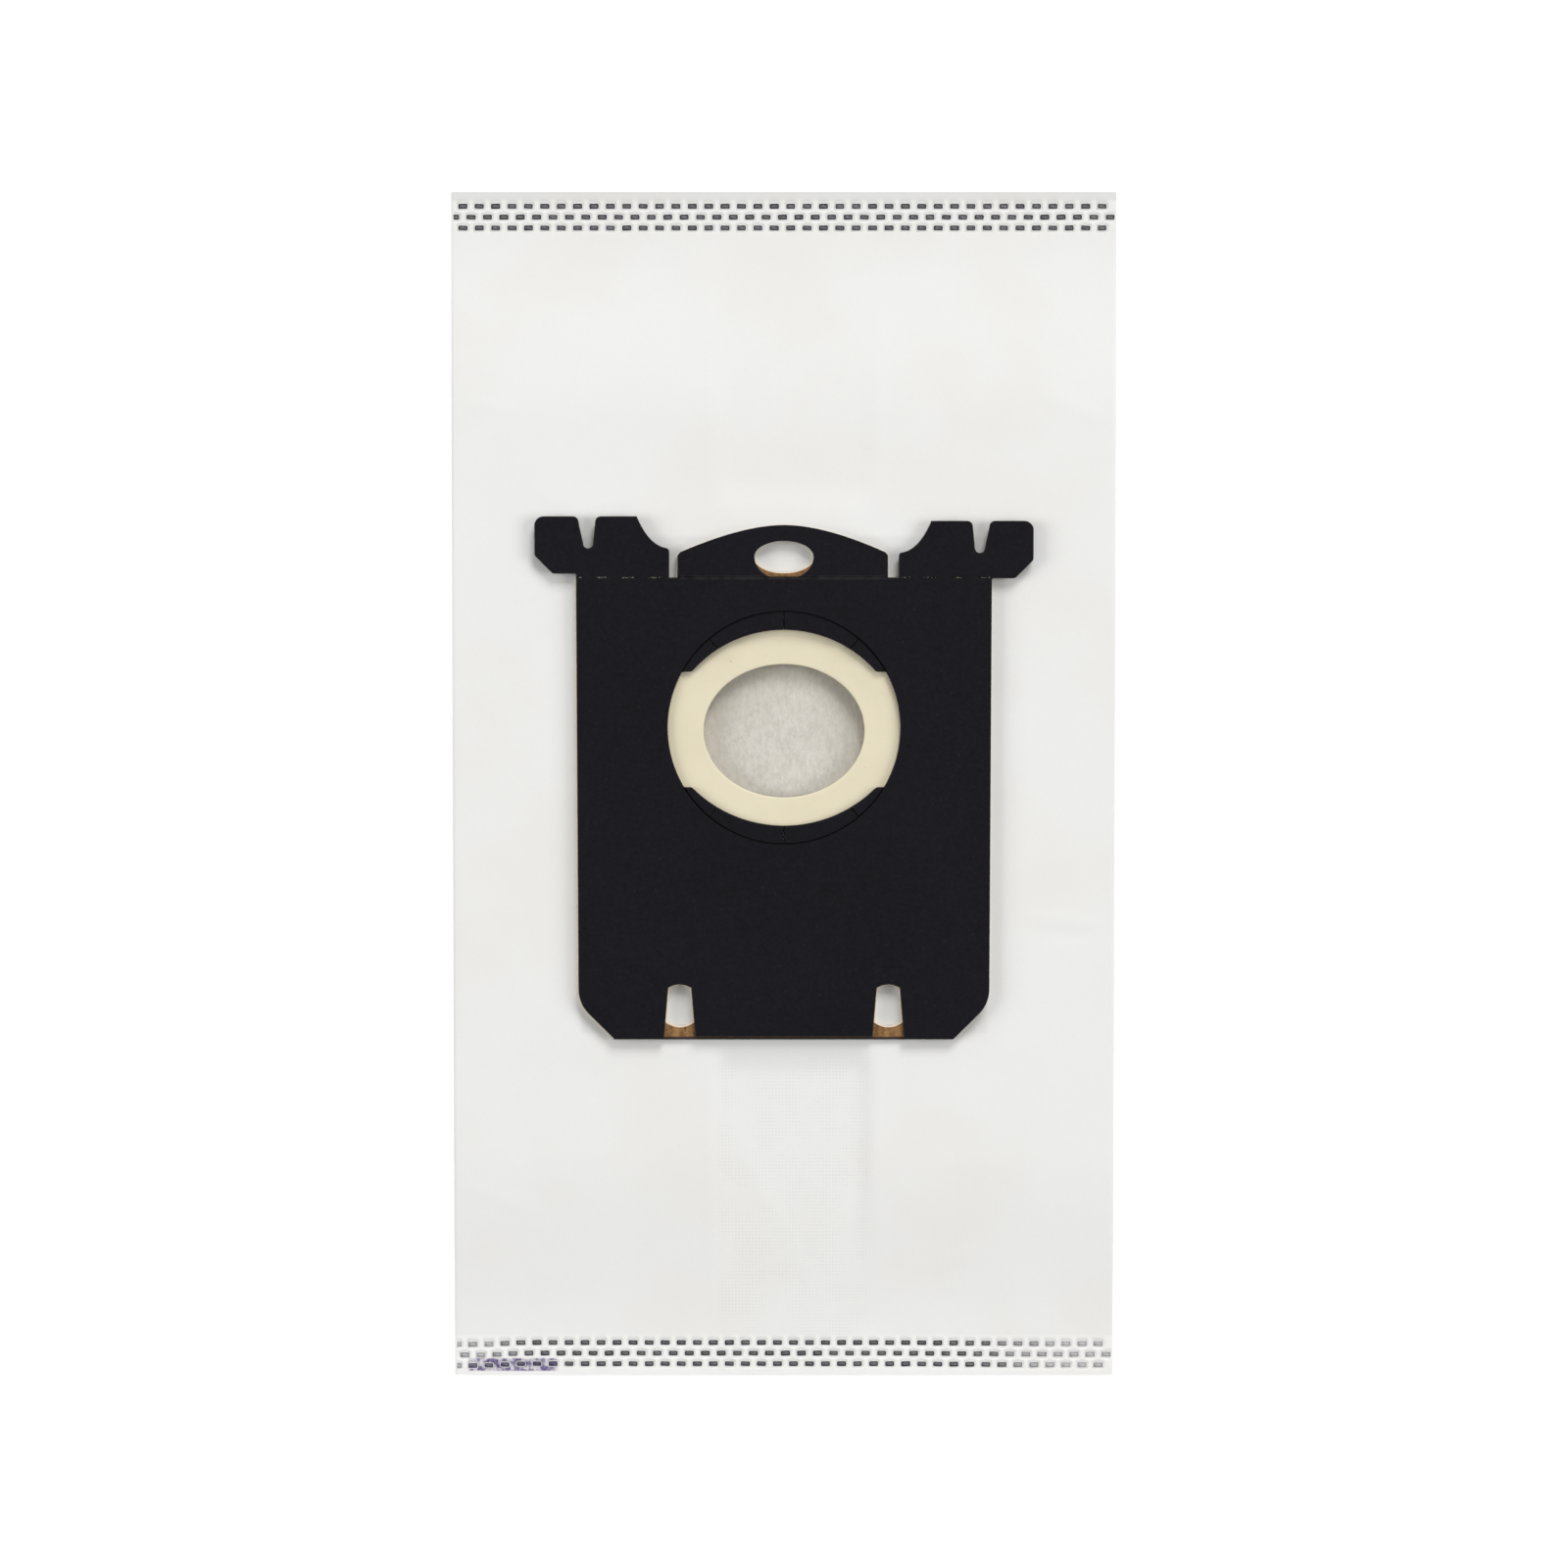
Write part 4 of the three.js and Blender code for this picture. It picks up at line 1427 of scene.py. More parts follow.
@dataclass
class Sleeve:
    """The folded nonwoven tube with its gussets and its two welds."""

    width: float = 160.0
    length: float = 286.5
    cloth: float = 0.6
    fold_gap: float = 0.35
    gusset_left: float = -18.7
    gusset_right: float = 23.3
    hollow_depth: float = 1.2
    head_hollow: float = 0.35
    hollow_inset: float = 1.0
    hollow_slope: float = 5.0
    hollow_fade: float = 9.0
    collar_top: float = 65.4
    collar_foot: float = -60.95
    collar_half: float = 60.0
    mouth_radius: float = 25.0
    mouth_y: float = 14.5
    weld_width: float = 9.8
    weld_thickness: float = 1.3
    weld_taper: float = 45.0
    head_rule: Triple = (3.94, 2.8, 3.45)
    foot_rule: Triple = (3.9, 0.4, 2.75)
    dash_length: float = 2.2
    dash_width: float = 1.2
    dash_rows: int = 3
    row_spacing: float = 2.6
    edge_margin: float = 0.4
    shortest: float = 0.9
    pocket_depth: float = 0.34
    seam_x: float = 48.0
    fine_cells: int = 488
    merge: int = 4
    row_step: float = 1.35
    pocket_margin: float = 0.06
    left_stray: Triple = (0.45, 62.0, 12.0)
    right_stray: Triple = (0.3, 20.0, 50.0)
    collar_fade: float = 8.0
    weld_fade: float = 10.0
    swells: tuple[Triple, ...] = ((0.05, 34.0, 11), (0.02, 13.0, 12), (0.008, 4.6, 13))
    free_drop: float = 0.06
    crease_share: float = 0.6
    gusset_step: float = 0.09
    seam_half: float = 0.8
    seam_rise: float = 0.2
    back_lift: float = 0.12
    gusset_shut: float = 0.25
    gusset_mouth: float = 0.1
    flat_size: Point = (0.568, 0.2865)

    def __post_init__(self) -> None:
        """Works out the levels."""
        self.half = self.width / 2
        self.end = self.length / 2
        self.weld = self.end - self.weld_width
        self.pitch = self.cloth + self.fold_gap
        self.height = 3 * self.pitch + self.cloth
        self.radius = (self.pitch + self.cloth) / 2
        self.side = self.half - self.radius

    def rule(self, side: Side) -> Triple:
        """Pitch, start and inset of the dashes at a weld."""
        return self.head_rule if side is Side.HEAD else self.foot_rule

    def drift(self, x: Rows, y: Rows) -> Rows:
        """How far the foot weld's rows stray along the bag from straight.

        Args:
            x: places across.
            y: places along.

        Returns:
            The shift along the bag.
        """
        stray = grown(-x, self.left_stray) + grown(x, self.right_stray)
        near = ease(8 - y - self.weld, 6) * ease(self.end + y - 0.3, 1.5)
        return -stray * near

    def squeeze(self, y: Rows) -> Rows:
        """How far the layers are squeezed together, 1 where they aren't."""
        pressed = self.weld_thickness / self.height
        return pressed + (1 - pressed) * ease(self.weld - np.abs(y), self.weld_taper)

    def _hollow(self, x: Rows, y: Rows) -> Rows:
        """Depth of the hollow between the gussets.

        Args:
            x: places across.
            y: places along.

        Returns:
            The depth.
        """
        from_collar = np.maximum(y - self.collar_top, self.collar_foot - y)
        deepest = self.hollow_depth * np.where(y > 0, self.head_hollow, 1.0)
        depth = deepest * ease(self.weld - np.abs(y), self.weld_taper) * ease(from_collar, self.hollow_fade)
        across = np.minimum(x - self.gusset_left, self.gusset_right - x) - self.hollow_inset
        return depth * ease(across, self.hollow_slope)

    def _creases(self, x: Rows, y: Rows) -> Rows:
        """Shallow creases pressed into the front.

        Args:
            x: places across.
            y: places along.

        Returns:
            How far the cloth is raised.
        """
        raised = np.zeros_like(x)
        for start, end, height, spread in CREASES:
            dx, dy = np.subtract(end, start)
            length = np.hypot(dx, dy)
            u = ((x - start[0]) * dx + (y - start[1]) * dy) / length
            v = ((y - start[1]) * dx - (x - start[0]) * dy) / length + 0.7 * fan_noise(u, u * 0, 7, 31)
            inside = ease(u, length * 0.3) * ease(length - u, length * 0.3)
            raised = raised + height * inside * np.exp(-((v / spread) ** 2))
        return raised

    def front(self, x: Rows, y: Rows) -> Rows:
        """Height of the front panel: free of the collar it swells, with creases and the gussets' steps.

        Args:
            x: places across.
            y: places along.

        Returns:
            The heights.
        """
        aside = ease(np.abs(x) - self.collar_half + self.collar_fade, self.collar_fade)
        along = ease(np.maximum(y - self.collar_top, self.collar_foot - y), self.collar_fade)
        free = np.maximum(aside, along) * ease(self.weld - np.abs(y), self.weld_fade)
        swell = sum(depth * fan_noise(x, y, cell, seed) for depth, cell, seed in self.swells)
        folds = (self.gusset_left + 0.4, self.gusset_right - 0.4)
        steps = self.gusset_step * sum(np.exp(-(((x - fold) / 0.8) ** 2)) for fold in folds)
        relief = swell - self.free_drop + self.crease_share * self._creases(x, y) + steps
        level = self.height - self._hollow(x, y) + free * relief
        ripple = 0.05 * fan_noise(x, y, 2.1, 14) * ease(np.abs(y) - self.weld + 1.5, 1.5)
        return level * self.squeeze(y) + ripple

    def back(self, x: Rows, y: Rows) -> Rows:
        """Height of the back panel, with its lap seam.

        Args:
            x: places across.
            y: places along.

        Returns:
            The heights.
        """
        swell = 0.08 * (1 + fan_noise(x, y, 26, 21)) + 0.03 * (1 + fan_noise(x, y, 9, 22))
        lap = np.exp(-(((x - self.seam_x) / self.seam_half) ** 4)) * self.seam_rise
        return swell + lap + self.back_lift

    def dash_places(self, side: Side) -> list[Triple]:
        """Where the dashes of a weld lie.

        Args:
            side: the weld.

        Returns:
            The left end, right end and place along of each dash.
        """
        edge, reach = self.half - self.edge_margin, self.dash_length / 2
        pitch, phase, inset = self.rule(side)
        places = []
        for row in range(self.dash_rows):
            y = side.value * (self.end - inset - row * self.row_spacing)
            x = phase - self.half - (row % 2) * pitch / 2 - pitch
            while x - reach < edge:
                left, right = max(x - reach, -edge), min(x + reach, edge)
                if right - left >= self.shortest:
                    places.append((left, right, y))
                x += pitch
        return places

    def _pockets(self, x: Rows, y: Rows) -> Rows:
        """1 in a dash's pocket, else 0.

        Args:
            x: places across.
            y: places along.

        Returns:
            The mask.
        """
        inside, margin = np.zeros_like(x), self.pocket_margin
        for side in Side:
            for left, right, middle in self.dash_places(side):
                across = (x > left - margin) & (x < right + margin)
                inside[across & (np.abs(y - middle) < self.dash_width / 2 + margin)] = 1
        return inside

    def _fine_columns(self, side: Side) -> Rows:
        """Columns of the front near a weld, set so that the dashes' edges fall on them.

        Args:
            side: the weld.

        Returns:
            The places across.
        """
        pitch, phase, _ = self.rule(side)
        step = pitch / 12
        first = phase - self.half + step / 2
        first += math.ceil((0.12 - self.side - first) / step) * step
        inner = first + step * np.arange(self.fine_cells)
        inner = inner[inner < self.side - 0.9]
        rest = np.linspace(inner[-1], self.side, self.fine_cells - len(inner) + 1)[1:]
        return np.concatenate([[-self.side], inner, rest])

    def _weld_rows(self, side: Side) -> list[float]:
        """Rows of the front near a weld, as distances from the middle of the bag.

        Args:
            side: the weld.

        Returns:
            The distances, from the bag's end inwards.
        """
        rows = [self.end - inset for inset in (0, 0.25, 0.9, 1.5)]
        for row in range(self.dash_rows):
            centre = self.end - self.rule(side)[2] - row * self.row_spacing
            rows += [centre + d for d in (0.98, 0.65, 0.33, 0, -0.33, -0.65, -0.98)]
        return rows + [self.weld, self.weld - 0.6]

    def _rows(self) -> list[tuple[float, bool]]:
        """Every row of the front from head to foot, and whether it is fine.

        Returns:
            The place and the fineness of each row.
        """
        weld, foot = self._weld_rows(Side.HEAD), self._weld_rows(Side.FOOT)
        coarse = np.linspace(weld[-1], -weld[-1], round(2 * weld[-1] / self.row_step) + 1)[1:-1]
        rows = [(y, True) for y in weld] + [(float(y), False) for y in coarse]
        return rows + [(-y, True) for y in reversed(foot)]

    def _columns(self, y: float, fine: bool) -> Rows:
        """Columns of one row of the front.

        Args:
            y: the row's place.
            fine: whether it is near a weld.

        Returns:
            The places across.
        """
        head, foot = self._fine_columns(Side.HEAD), self._fine_columns(Side.FOOT)
        if fine:
            return head if y > 0 else foot
        share = (y + self.end) / self.length
        return (head * share + foot * (1 - share))[:: self.merge]

    def _fold(self, y: float, tip: float) -> Loop:
        """The folded side of one row, from the front round the gusset to the back.

        Args:
            y: the row's place.
            tip: how far from the bag's middle the gusset's inner fold lies.

        Returns:
            Places from the bag's middle, and heights.
        """
        inside = float(ease(self.weld - abs(y), 1.0))
        shut, gap, middle = self.half - self.gusset_shut, self.fold_gap / 2, self.height / 2
        deep = shut + (tip - shut) * inside
        near = self.side + (self.half - self.gusset_mouth - self.side) * (1 - inside)
        upper, lower = (
            [(self.side + self.radius * math.cos(t), z + self.radius * math.sin(t))
             for t in np.linspace(QUARTER, -QUARTER, 7)[1:-1]]
            for z in (self.height - self.radius, self.radius)
        )
        gusset = [(near, middle + gap), (deep, middle + gap), (deep, middle - gap), (near, middle - gap)]
        return upper + gusset + lower

    def _rim(self, y: float) -> Rows:
        """The folded sides and the back of one row, from the front's right end to its left end.

        Args:
            y: the row's place.

        Returns:
            The points.
        """
        seam = self.seam_x
        parts = ((self.side, seam + 6, 10), (seam + 2, seam - 2, 9), (seam - 6, -self.side, 44))
        across = np.concatenate([np.linspace(*part) for part in parts])
        right = self._fold(y, self.gusset_right + self.cloth)
        under = list(zip(across, self.back(across, np.full_like(across, y))))
        left = [(-x, z) for x, z in reversed(self._fold(y, self.cloth - self.gusset_left))]
        x, z = np.array(right + under + left).T
        return np.column_stack([x, np.full_like(x, y), z * self.squeeze(np.array(y))])

    def build(self, cloth: Material, lining: Material) -> Object:
        """Builds the sleeve and cuts out its inside and its mouth.

        Args:
            cloth: the outside's material.
            lining: the inside's material.

        Returns:
            The sleeve.
        """
        points, faces, rows, total = [], [], [], 0
        for y, fine in self._rows():
            x = self._columns(y, fine)
            along = np.full_like(x, y)
            z = self.front(x, along)
            if fine:
                z = z - self.pocket_depth * self._pockets(x, along)
            rim = self._rim(y)
            points += [np.column_stack([x, along + self.drift(x, along), z]), rim]
            top = list(range(total, total + len(x)))
            around = [top[-1], *range(total + len(x), total + len(x) + len(rim)), top[0]]
            rows.append((top, around))
            total += len(x) + len(rim)
        for (top, around), (next_top, below) in zip(rows, rows[1:]):
            faces += self._strip(top, next_top)
            faces += [(below[i], below[i + 1], around[i + 1], around[i]) for i in range(len(around) - 1)]
        for (top, around), flip in ((rows[0], False), (rows[-1], True)):
            ring = top + around[1:-1]
            faces.append(tuple(ring if flip else ring[::-1]))
        piece = turned_out(made_mesh("bag_sleeve", np.concatenate(points), faces, [cloth, lining]), 6)
        return smooth(cut_away(piece, [self._inside(lining), self._mouth(cloth)]), 50)

    def _strip(self, upper: list[int], lower: list[int]) -> list[Face]:
        """Faces between two rows of the front, which may differ in fineness.

        Args:
            upper: points of the row nearer the head.
            lower: points of the next row.

        Returns:
            The faces.
        """
        if len(upper) == len(lower):
            return [(upper[i], lower[i], lower[i + 1], upper[i + 1]) for i in range(len(upper) - 1)]
        step, faces = self.merge, []
        for i in range(min(len(upper), len(lower)) - 1):
            if len(lower) < len(upper):
                faces.append((*reversed(upper[i * step : (i + 1) * step + 1]), lower[i], lower[i + 1]))
            else:
                faces.append((upper[i + 1], upper[i], *lower[i * step : (i + 1) * step + 1]))
        return faces

    def _inside(self, lining: Material) -> Object:
        """The hollow inside of the bag: over, between and under the two gussets.

        Args:
            lining: its material.

        Returns:
            The closed body of air.
        """
        side, under, over = self.half - self.cloth, self.pitch, 2 * self.pitch + self.cloth
        span = np.linspace(side, -side, 61)
        left, right = self.gusset_left, self.gusset_right
        right_gusset = [(side, under), (right, under), (right, over), (side, over)]
        left_gusset = [(-side, over), (left, over), (left, under), (-side, under)]
        parts = ((self.weld, 34, 40), (33, -4, 50), (-5, -self.weld, 50))
        points = []
        for y in np.concatenate([np.linspace(*part) for part in parts]):
            row = np.full_like(span, y)
            wrinkle = 0.1 * fan_noise(span * 2.2, row * 0.5, 5, 41) + 0.07 * fan_noise(span, row, 6, 42)
            floor = np.column_stack([span, self.cloth + 0.08 + wrinkle])[::-1]
            ceiling = np.column_stack([span, 3 * self.pitch - self._hollow(span, row)])
            x, z = np.concatenate([floor, right_gusset, ceiling, left_gusset]).T
            points.append(np.column_stack([x, np.full_like(x, y), z * self.squeeze(y)]))
        count = len(points[0])
        starts = [row * count for row in range(len(points))]
        ends = [tuple(range(count)), tuple(starts[-1] + k for k in reversed(range(count)))]
        air = made_mesh("inside_air", np.concatenate(points), bands(starts, count) + ends, [lining])
        return turned_out(air, 4)

    def _mouth(self, cloth: Material) -> Object:
        """The round mouth in the front panel.

        Args:
            cloth: its material.

        Returns:
            The closed body of air.
        """
        outline = oval((self.mouth_radius, self.mouth_radius), (0, self.mouth_y), 96)
        board = Board("mouth_air", outline, [], 3 * self.pitch - self.fold_gap / 2, self.height + 2)
        return board.build(cloth, cloth)


class Tree(Bench):
    """A Geometry Nodes tree with named inputs, baked onto a mesh of points."""

    def __init__(self, name: str, values: dict[str, float]) -> None:
        """Makes the tree with its geometry sockets and its named inputs.

        Args:
            name: its name.
            values: the inputs' values by name; a whole number makes an integer input.
        """
        group = bpy.data.node_groups.new(name, "GeometryNodeTree")
        for way in ("INPUT", "OUTPUT"):
            group.interface.new_socket("Geometry", in_out=way, socket_type="NodeSocketGeometry")
        for label, value in values.items():
            kind = "NodeSocketInt" if isinstance(value, int) else "NodeSocketFloat"
            group.interface.new_socket(label, in_out="INPUT", socket_type=kind)
        super().__init__(group)
        self.values = values
        first = self.node("NodeGroupInput")
        self.given = {s.name: Wire(self, s) for s in first.socket.node.outputs if s.name}

    def coated(self, geometry: Wire, material: Material) -> Wire:
        """Geometry with its material set."""
        return self.node("GeometryNodeSetMaterial", None, {"Geometry": geometry, "Material": material})

    def chance(self, spread: float, middle: float = 0.0) -> Wire:
        """A random number for each point, up to a spread away from the middle."""
        sockets = {"Min_001": middle - spread, "Max_001": middle + spread, "Seed": self.given["Seed"]}
        return self.node("FunctionNodeRandomValue", {"data_type": "FLOAT"}, sockets, "Value_001")

    def bake(self, piece: Object, part: Wire, turn: Wire, size: Wire) -> Object:
        """Lays a part on each of a piece's points and keeps the result as its mesh.

        Args:
            piece: the mesh of points.
            part: the geometry, with its materials set.
            turn: each part's rotation.
            size: each part's scale.

        Returns:
            The same piece.
        """
        sockets = {"Points": self.given["Geometry"], "Instance": part, "Rotation": turn, "Scale": size}
        laid = self.node("GeometryNodeInstanceOnPoints", None, sockets)
        self.end("NodeGroupOutput", self.node("GeometryNodeRealizeInstances", None, {0: laid}))
        modifier = piece.modifiers.new(self.tree.name, "NODES")
        modifier.node_group = self.tree
        for item in self.tree.interface.items_tree:
            if item.item_type == "SOCKET" and item.in_out == "INPUT" and item.name in self.values:
                modifier[item.identifier] = self.values[item.name]
        settle(piece)
        mesh = piece.data
        indices = np.zeros(len(mesh.polygons), int)
        mesh.polygons.foreach_get("material_index", indices)
        used, packed = np.unique(indices, return_inverse=True)
        kept = [mesh.materials[int(i)] for i in used]
        mesh.materials.clear()
        for material in kept:
            mesh.materials.append(material)
        mesh.polygons.foreach_set("material_index", packed)
        return smooth(piece, 40)


@dataclass
class WeldDashes:
    """The melted dashes of both welds, front and back."""

    sleeve: Sleeve
    corner: float = 0.3
    rim_radius: float = 0.09
    film_drop: float = 0.2
    back_level: float = 0.16
    # The dashes' painted shade, and where it fades to painted light near the foot's corners.
    darkness: Point = (0.82, 0.22)
    right_fade: Triple = (0.8, 38.0, 34.0)
    left_fade: Triple = (0.65, 53.0, 24.0)
    turn_spread: float = 0.04
    width_spread: float = 0.06
    seed: int = 7

    def _melt(self, side: Side, x: float, roll: float) -> float:
        """How dark a dash's painted shade is.

        Args:
            side: its weld.
            x: its place across.
            roll: a random number from 0 to 1.

        Returns:
            0 for pale, 1 for dark.
        """
        melt = self.darkness[0] + self.darkness[1] * roll
        # Painted light: near the foot's corners the dashes fade to pale, where the white table shows through
        # the film.
        if side is Side.FOOT:
            melt -= float(grown(x, self.right_fade)) + float(grown(-x, self.left_fade))
        return max(melt, 0.0)

    def _points(self) -> Object:
        """One point for each dash, with its length, darkness and face.

        Returns:
            The mesh of points.
        """
        random, places, marks = np.random.default_rng(self.seed), [], []
        for side in Side:
            for left, right, y in self.sleeve.dash_places(side):
                x = (left + right) / 2
                front = float(self.sleeve.front(np.array([x]), np.array([y]))[0])
                roll = float(random.random())
                span = (right - left) / self.sleeve.dash_length * (0.95 + 0.08 * roll)
                along = y + float(self.sleeve.drift(np.array(x), np.array(y)))
                for level, flip in ((front, 0.0), (self.back_level, 1.0)):
                    places.append((x, along, level))
                    marks.append((span, self._melt(side, x, roll), flip))
        piece = made_mesh("weld_dashes", places, [], [])
        for name, values in zip(("span", "melt", "flip"), zip(*marks)):
            mark(piece, name, values)
        return piece

    @staticmethod
    def _outline(tree: Tree, width: Wire, height: Wire, corner: Wire, count: int) -> Wire:
        """A rectangle with rounded corners.

        Args:
            tree: the dashes' tree.
            width: its width.
            height: its height.
            corner: its corners' radius.
            count: points in each corner.

        Returns:
            The closed curve.
        """
        sizes = {"Width": width, "Height": height}
        line = tree.node("GeometryNodeCurvePrimitiveQuadrilateral", {"mode": "RECTANGLE"}, sizes)
        corners = {"Curve": line, "Radius": corner, "Limit Radius": True, "Count": count}
        return tree.node("GeometryNodeFilletCurve", {"mode": "POLY"}, corners)

    def build(self, film: Material, rim: Material) -> Object:
        """Builds the dashes: a film of painted shade in each pocket and a white rim round it.

        Args:
            film: the film's material.
            rim: the rim's material.

        Returns:
            The dashes as one piece.
        """
        tree = Tree("weld_dash_rule", {
            "Dash Length": self.sleeve.dash_length * MM,
            "Dash Width": self.sleeve.dash_width * MM,
            "Corner": self.corner * MM,
            "Rim Radius": self.rim_radius * MM,
            "Film Drop": -self.film_drop * MM,
            "Seed": self.seed,
        })
        _, length, width, corner, radius, drop, _ = tree.given.values()
        floor = self._outline(tree, length, width, corner, 2)
        rim_line = self._outline(tree, length + radius * 1.6, width + radius * 1.6, corner + radius, 3)
        ring = tree.node("GeometryNodeCurvePrimitiveCircle", None, {"Resolution": 5, "Radius": radius})
        tube = tree.node("GeometryNodeCurveToMesh", None, {"Curve": rim_line, "Profile Curve": ring})
        floor = tree.node("GeometryNodeFillCurve", {"mode": "NGONS"}, {"Curve": floor})
        sockets = {"Mesh": floor, "Offset Scale": drop * 0.4, "Individual": False}
        thick = tree.node("GeometryNodeExtrudeMesh", None, sockets)
        slab = tree.node("GeometryNodeJoinGeometry", None, {0: [thick, floor]})
        sockets = {"Geometry": slab, "Translation": tree.node("ShaderNodeCombineXYZ", None, {2: drop * 0.6})}
        slab = tree.node("GeometryNodeTransform", None, sockets)
        parts = [tree.coated(tube, rim), tree.coated(slab, film)]
        dash = tree.node("GeometryNodeJoinGeometry", None, {0: parts})
        sockets = {"Geometry": dash, "Name": "local", "Value": tree.node("GeometryNodeInputPosition")}
        settings = {"data_type": "FLOAT_VECTOR", "domain": "POINT"}
        dash = tree.node("GeometryNodeStoreNamedAttribute", settings, sockets)
        span, flip = (
            tree.node("GeometryNodeInputNamedAttribute", {"data_type": "FLOAT"}, {"Name": name})
            for name in ("span", "flip")
        )
        turn = tree.node("ShaderNodeCombineXYZ", None, {0: flip * math.pi, 2: tree.chance(self.turn_spread)})
        scales = {0: span, 1: 1.0 + tree.chance(self.width_spread), 2: 1.0 - flip * 0.55}
        size = tree.node("ShaderNodeCombineXYZ", None, scales)
        return turned_out(tree.bake(self._points(), dash, turn, size), join=1e-7)


@dataclass
class TornFibres:
    """Paper fibres that stand in the perforations."""

    collar: Collar
    per_cut: int = 34
    right_share: float = 0.35
    end_gap: float = 0.1
    stray: float = 0.12
    depths: Point = (0.12, 0.6)
    lean: Triple = (1.2, 1.2, 3.1)
    length: float = 0.34
    thickness: float = 0.035
    seed: int = 19

    def _points(self) -> Object:
        """Points along the cuts, denser on the left.

        Returns:
            The mesh of points.
        """
        random = np.random.default_rng(self.seed)
        collar, places = self.collar, []
        fold = collar.inlet_y + collar.crease_rise
        for way, share in ((-1, 1.0), (1, self.right_share)):
            for left, right in collar.perforations(way):
                for _ in range(int(self.per_cut * share)):
                    x = way * random.uniform(left + self.end_gap, right - self.end_gap)
                    level = collar.front_top - random.uniform(*self.depths)
                    places.append((x, fold + random.uniform(-self.stray, self.stray), level))
        return made_mesh("torn_fibres", places, [], [])

    def build(self, fibre: Material) -> Object:
        """Builds the fibres as thin slanting rods.

        Args:
            fibre: their material.

        Returns:
            The fibres as one piece.
        """
        sizes = {"Fibre Length": self.length * MM, "Fibre Radius": self.thickness * MM, "Seed": self.seed}
        tree = Tree("torn_fibre_rule", sizes)
        _, length, radius, seed = tree.given.values()
        sizes = {"Vertices": 5, "Radius": radius, "Depth": length}
        rod = tree.node("GeometryNodeMeshCylinder", {"fill_type": "NGON"}, sizes)
        swing = {"Min": tuple(-turn for turn in self.lean), "Max": self.lean, "Seed": seed}
        turn = tree.node("FunctionNodeRandomValue", {"data_type": "FLOAT_VECTOR"}, swing)
        return tree.bake(self._points(), tree.coated(rod, fibre), turn, tree.chance(0.35, 0.85))


# The stage


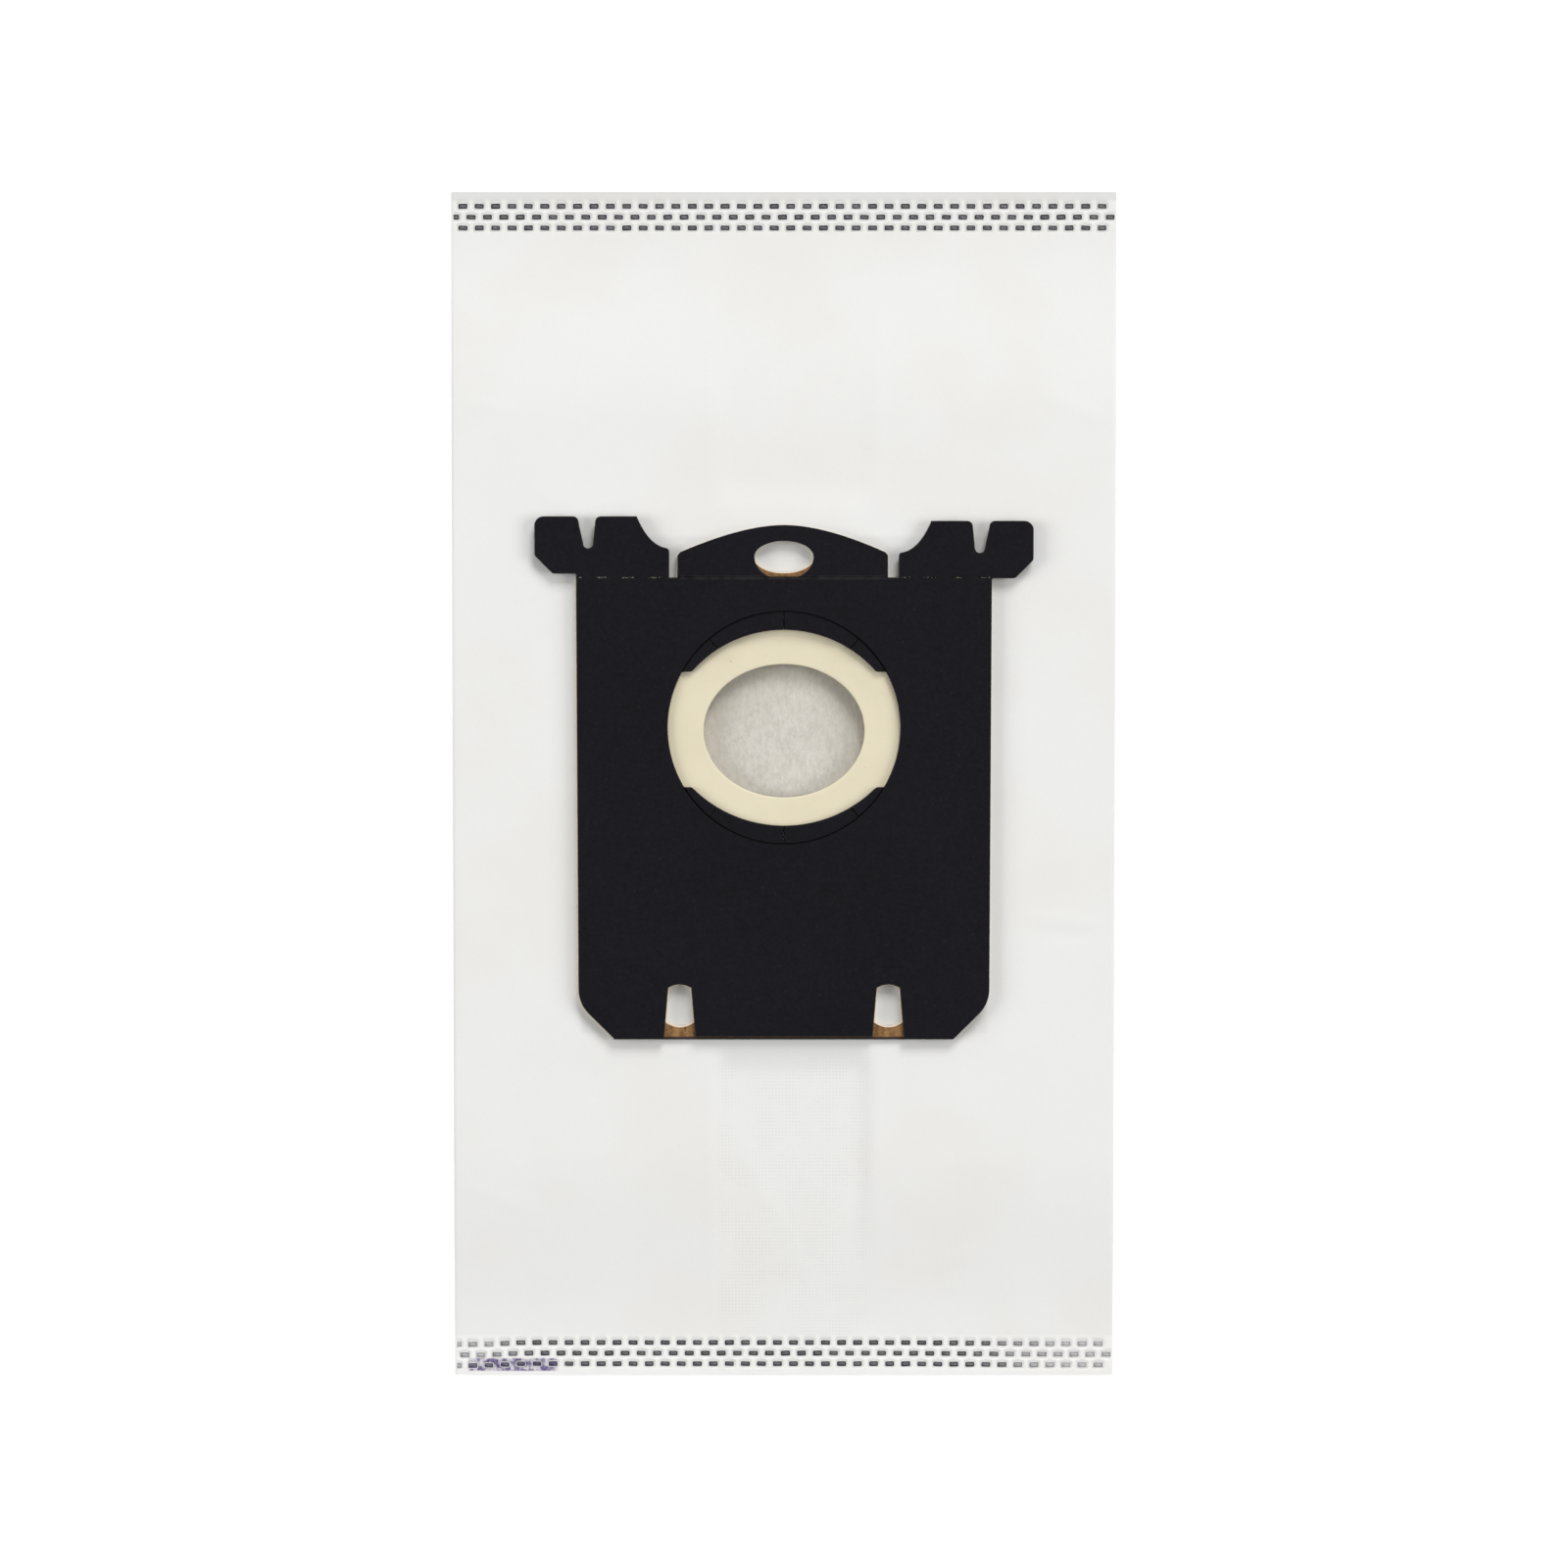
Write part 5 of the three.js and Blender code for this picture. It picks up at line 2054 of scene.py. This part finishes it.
@dataclass
class Stage:
    """The pale floor, the soft light and the camera over the bag; places and sizes are in metres."""

    lens: float = 113.8
    camera_place: Triple = (0.0, 0.0628, 1.1984)
    shift_y: float = 0.0018
    floor_level: float = -0.0004
    floor_half: float = 3.0
    glow: float = 0.5
    sensor: float = 36.0
    world_strength: float = 0.3
    bright_side: Triple = (0.28, 0.96, 0.0)
    bright_share: float = 0.4
    key_place: Triple = (1.4, 4.8, 3.62)
    key_power: float = 204.0
    key_size: float = 2.4
    right_place: Triple = (2.62, 0.0, 1.64)
    right_power: float = 38.0
    left_place: Triple = (-2.72, 0.0, 1.45)
    left_power: float = 41.0
    side_size: float = 1.5

    def _floor(self) -> None:
        """The white floor, which keeps the bag's shadow."""
        size, level = self.floor_half / MM, self.floor_level / MM
        places = [(x * size, y * size, level) for x, y in ((-1, -1), (1, -1), (1, 1), (-1, 1))]
        paint = Paint("white_table")
        rays = paint.node("ShaderNodeLightPath", output="Is Camera Ray")
        glossy, through = paint.other(rays, "Is Glossy Ray"), paint.other(rays, "Is Transmission Ray")
        shown = 1 - (1 - rays) * (1 - glossy) * (1 - through)
        white = paint.shade(tone(238, 238, 238), 1.0 + (paint.grain(400) - 0.5) * 0.01)
        plain = paint.node("ShaderNodeBsdfDiffuse", None, {"Color": white})
        glow = paint.node("ShaderNodeEmission", None, {"Strength": self.glow})
        lit = paint.node("ShaderNodeAddShader", None, {0: plain, 1: glow})
        mixed = paint.node("ShaderNodeMixShader", None, {0: shown, 1: plain, 2: lit})
        paint.end("ShaderNodeOutputMaterial", mixed)
        made_mesh("table_top", places, [(0, 1, 2, 3)], [paint.material])

    def _lamp(self, name: str, place: Triple, size: float, power: float) -> None:
        """A soft square lamp that faces the bag.

        Args:
            name: its name.
            place: its place.
            size: its side.
            power: its power in watts.
        """
        light = bpy.data.lights.new(name, "AREA")
        light.shape, light.size, light.energy = "SQUARE", size, power
        lamp = linked(name, light)
        lamp.location = place
        lamp.rotation_euler = (-Vector(place)).to_track_quat("-Z", "Y").to_euler()

    def _world(self) -> None:
        """A white surround that is brighter towards the head of the bag."""
        world = bpy.context.scene.world = bpy.data.worlds.new("studio")
        world.use_nodes = True
        bench = Bench(world.node_tree)
        rays = bench.node("ShaderNodeLightPath", output="Is Camera Ray")
        way = bench.node("ShaderNodeTexCoord", output="Generated")
        dot = {"operation": "DOT_PRODUCT"}
        towards = bench.node("ShaderNodeVectorMath", dot, {0: way, 1: self.bright_side}, "Value")
        strength = rays + (1 - rays) * ((1.0 + towards * self.bright_share) * self.world_strength)
        light = bench.node("ShaderNodeBackground", None, {"Color": (1, 1, 1, 1), "Strength": strength})
        bench.end("ShaderNodeOutputWorld", light)

    def build(self) -> None:
        """Sets up the floor, the light and the camera."""
        self._floor()
        self._world()
        self._lamp("key_light", self.key_place, self.key_size, self.key_power)
        self._lamp("right_light", self.right_place, self.side_size, self.right_power)
        self._lamp("left_light", self.left_place, self.side_size, self.left_power)
        data = bpy.data.cameras.new("camera")
        data.sensor_fit, data.sensor_width = "HORIZONTAL", self.sensor
        data.lens, data.shift_y, data.clip_end = self.lens, self.shift_y, 20.0
        scene = bpy.context.scene
        scene.camera = linked("camera", data)
        scene.camera.location = self.camera_place
        scene.camera.rotation_euler = (-math.atan2(self.camera_place[1], self.camera_place[2]), 0, 0)
        scene.view_settings.view_transform = "Standard"


def dress(piece: Object, slot: str, node: str | None = None) -> None:
    """Makes a piece ride on the bag, hides the CAD node that it replaces and logs its triangles and slot.

    Args:
        piece: the piece.
        slot: the name of its material slot, which is only logged.
        node: the CAD node that it replaces.
    """
    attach(piece, "root")
    if node:
        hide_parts(node)
    piece.data.calc_loop_triangles()
    LOG.info("%s: %d triangles, slot %s", piece.name, len(piece.data.loop_triangles), slot)


def main() -> None:
    """Builds the bag from its sleeve to its collar, and the stage round it."""
    logging.basicConfig(level=logging.INFO, format="%(name)s: %(message)s")
    cloth, lining = NonwovenFinish().paint(), LiningFinish().paint()
    black = BlackBoardFinish().paint()
    dark_edge = CutEdgeFinish("dark_cut_edge", tone(56, 49, 46), tone(40, 36, 36)).paint()
    cream_edge = CutEdgeFinish("cream_cut_edge", tone(240, 230, 212), tone(210, 194, 168)).paint()

    sleeve = Sleeve()
    bag = sleeve.build(cloth, lining)
    dress(bag, "nonwoven", "filter_bag")
    dashes = WeldDashes(sleeve).build(WeldFilmFinish().paint(), WeldRimFinish().paint())
    dress(dashes, "nonwoven")

    collar = Collar()
    dress(collar.rear_plate(KraftFinish().paint(), cream_edge), "kraft_board", "collar_rear_plate")
    dress(Seal().build(RubberFinish().paint()), "cream_rubber", "rubber_seal")
    dress(collar.front_plate(black, dark_edge), "black_board", "collar_front_plate")
    dress(TornFibres(collar).build(FibreFinish().paint()), "kraft_board")

    Stage().build()


if __name__ == "__main__":
    main()
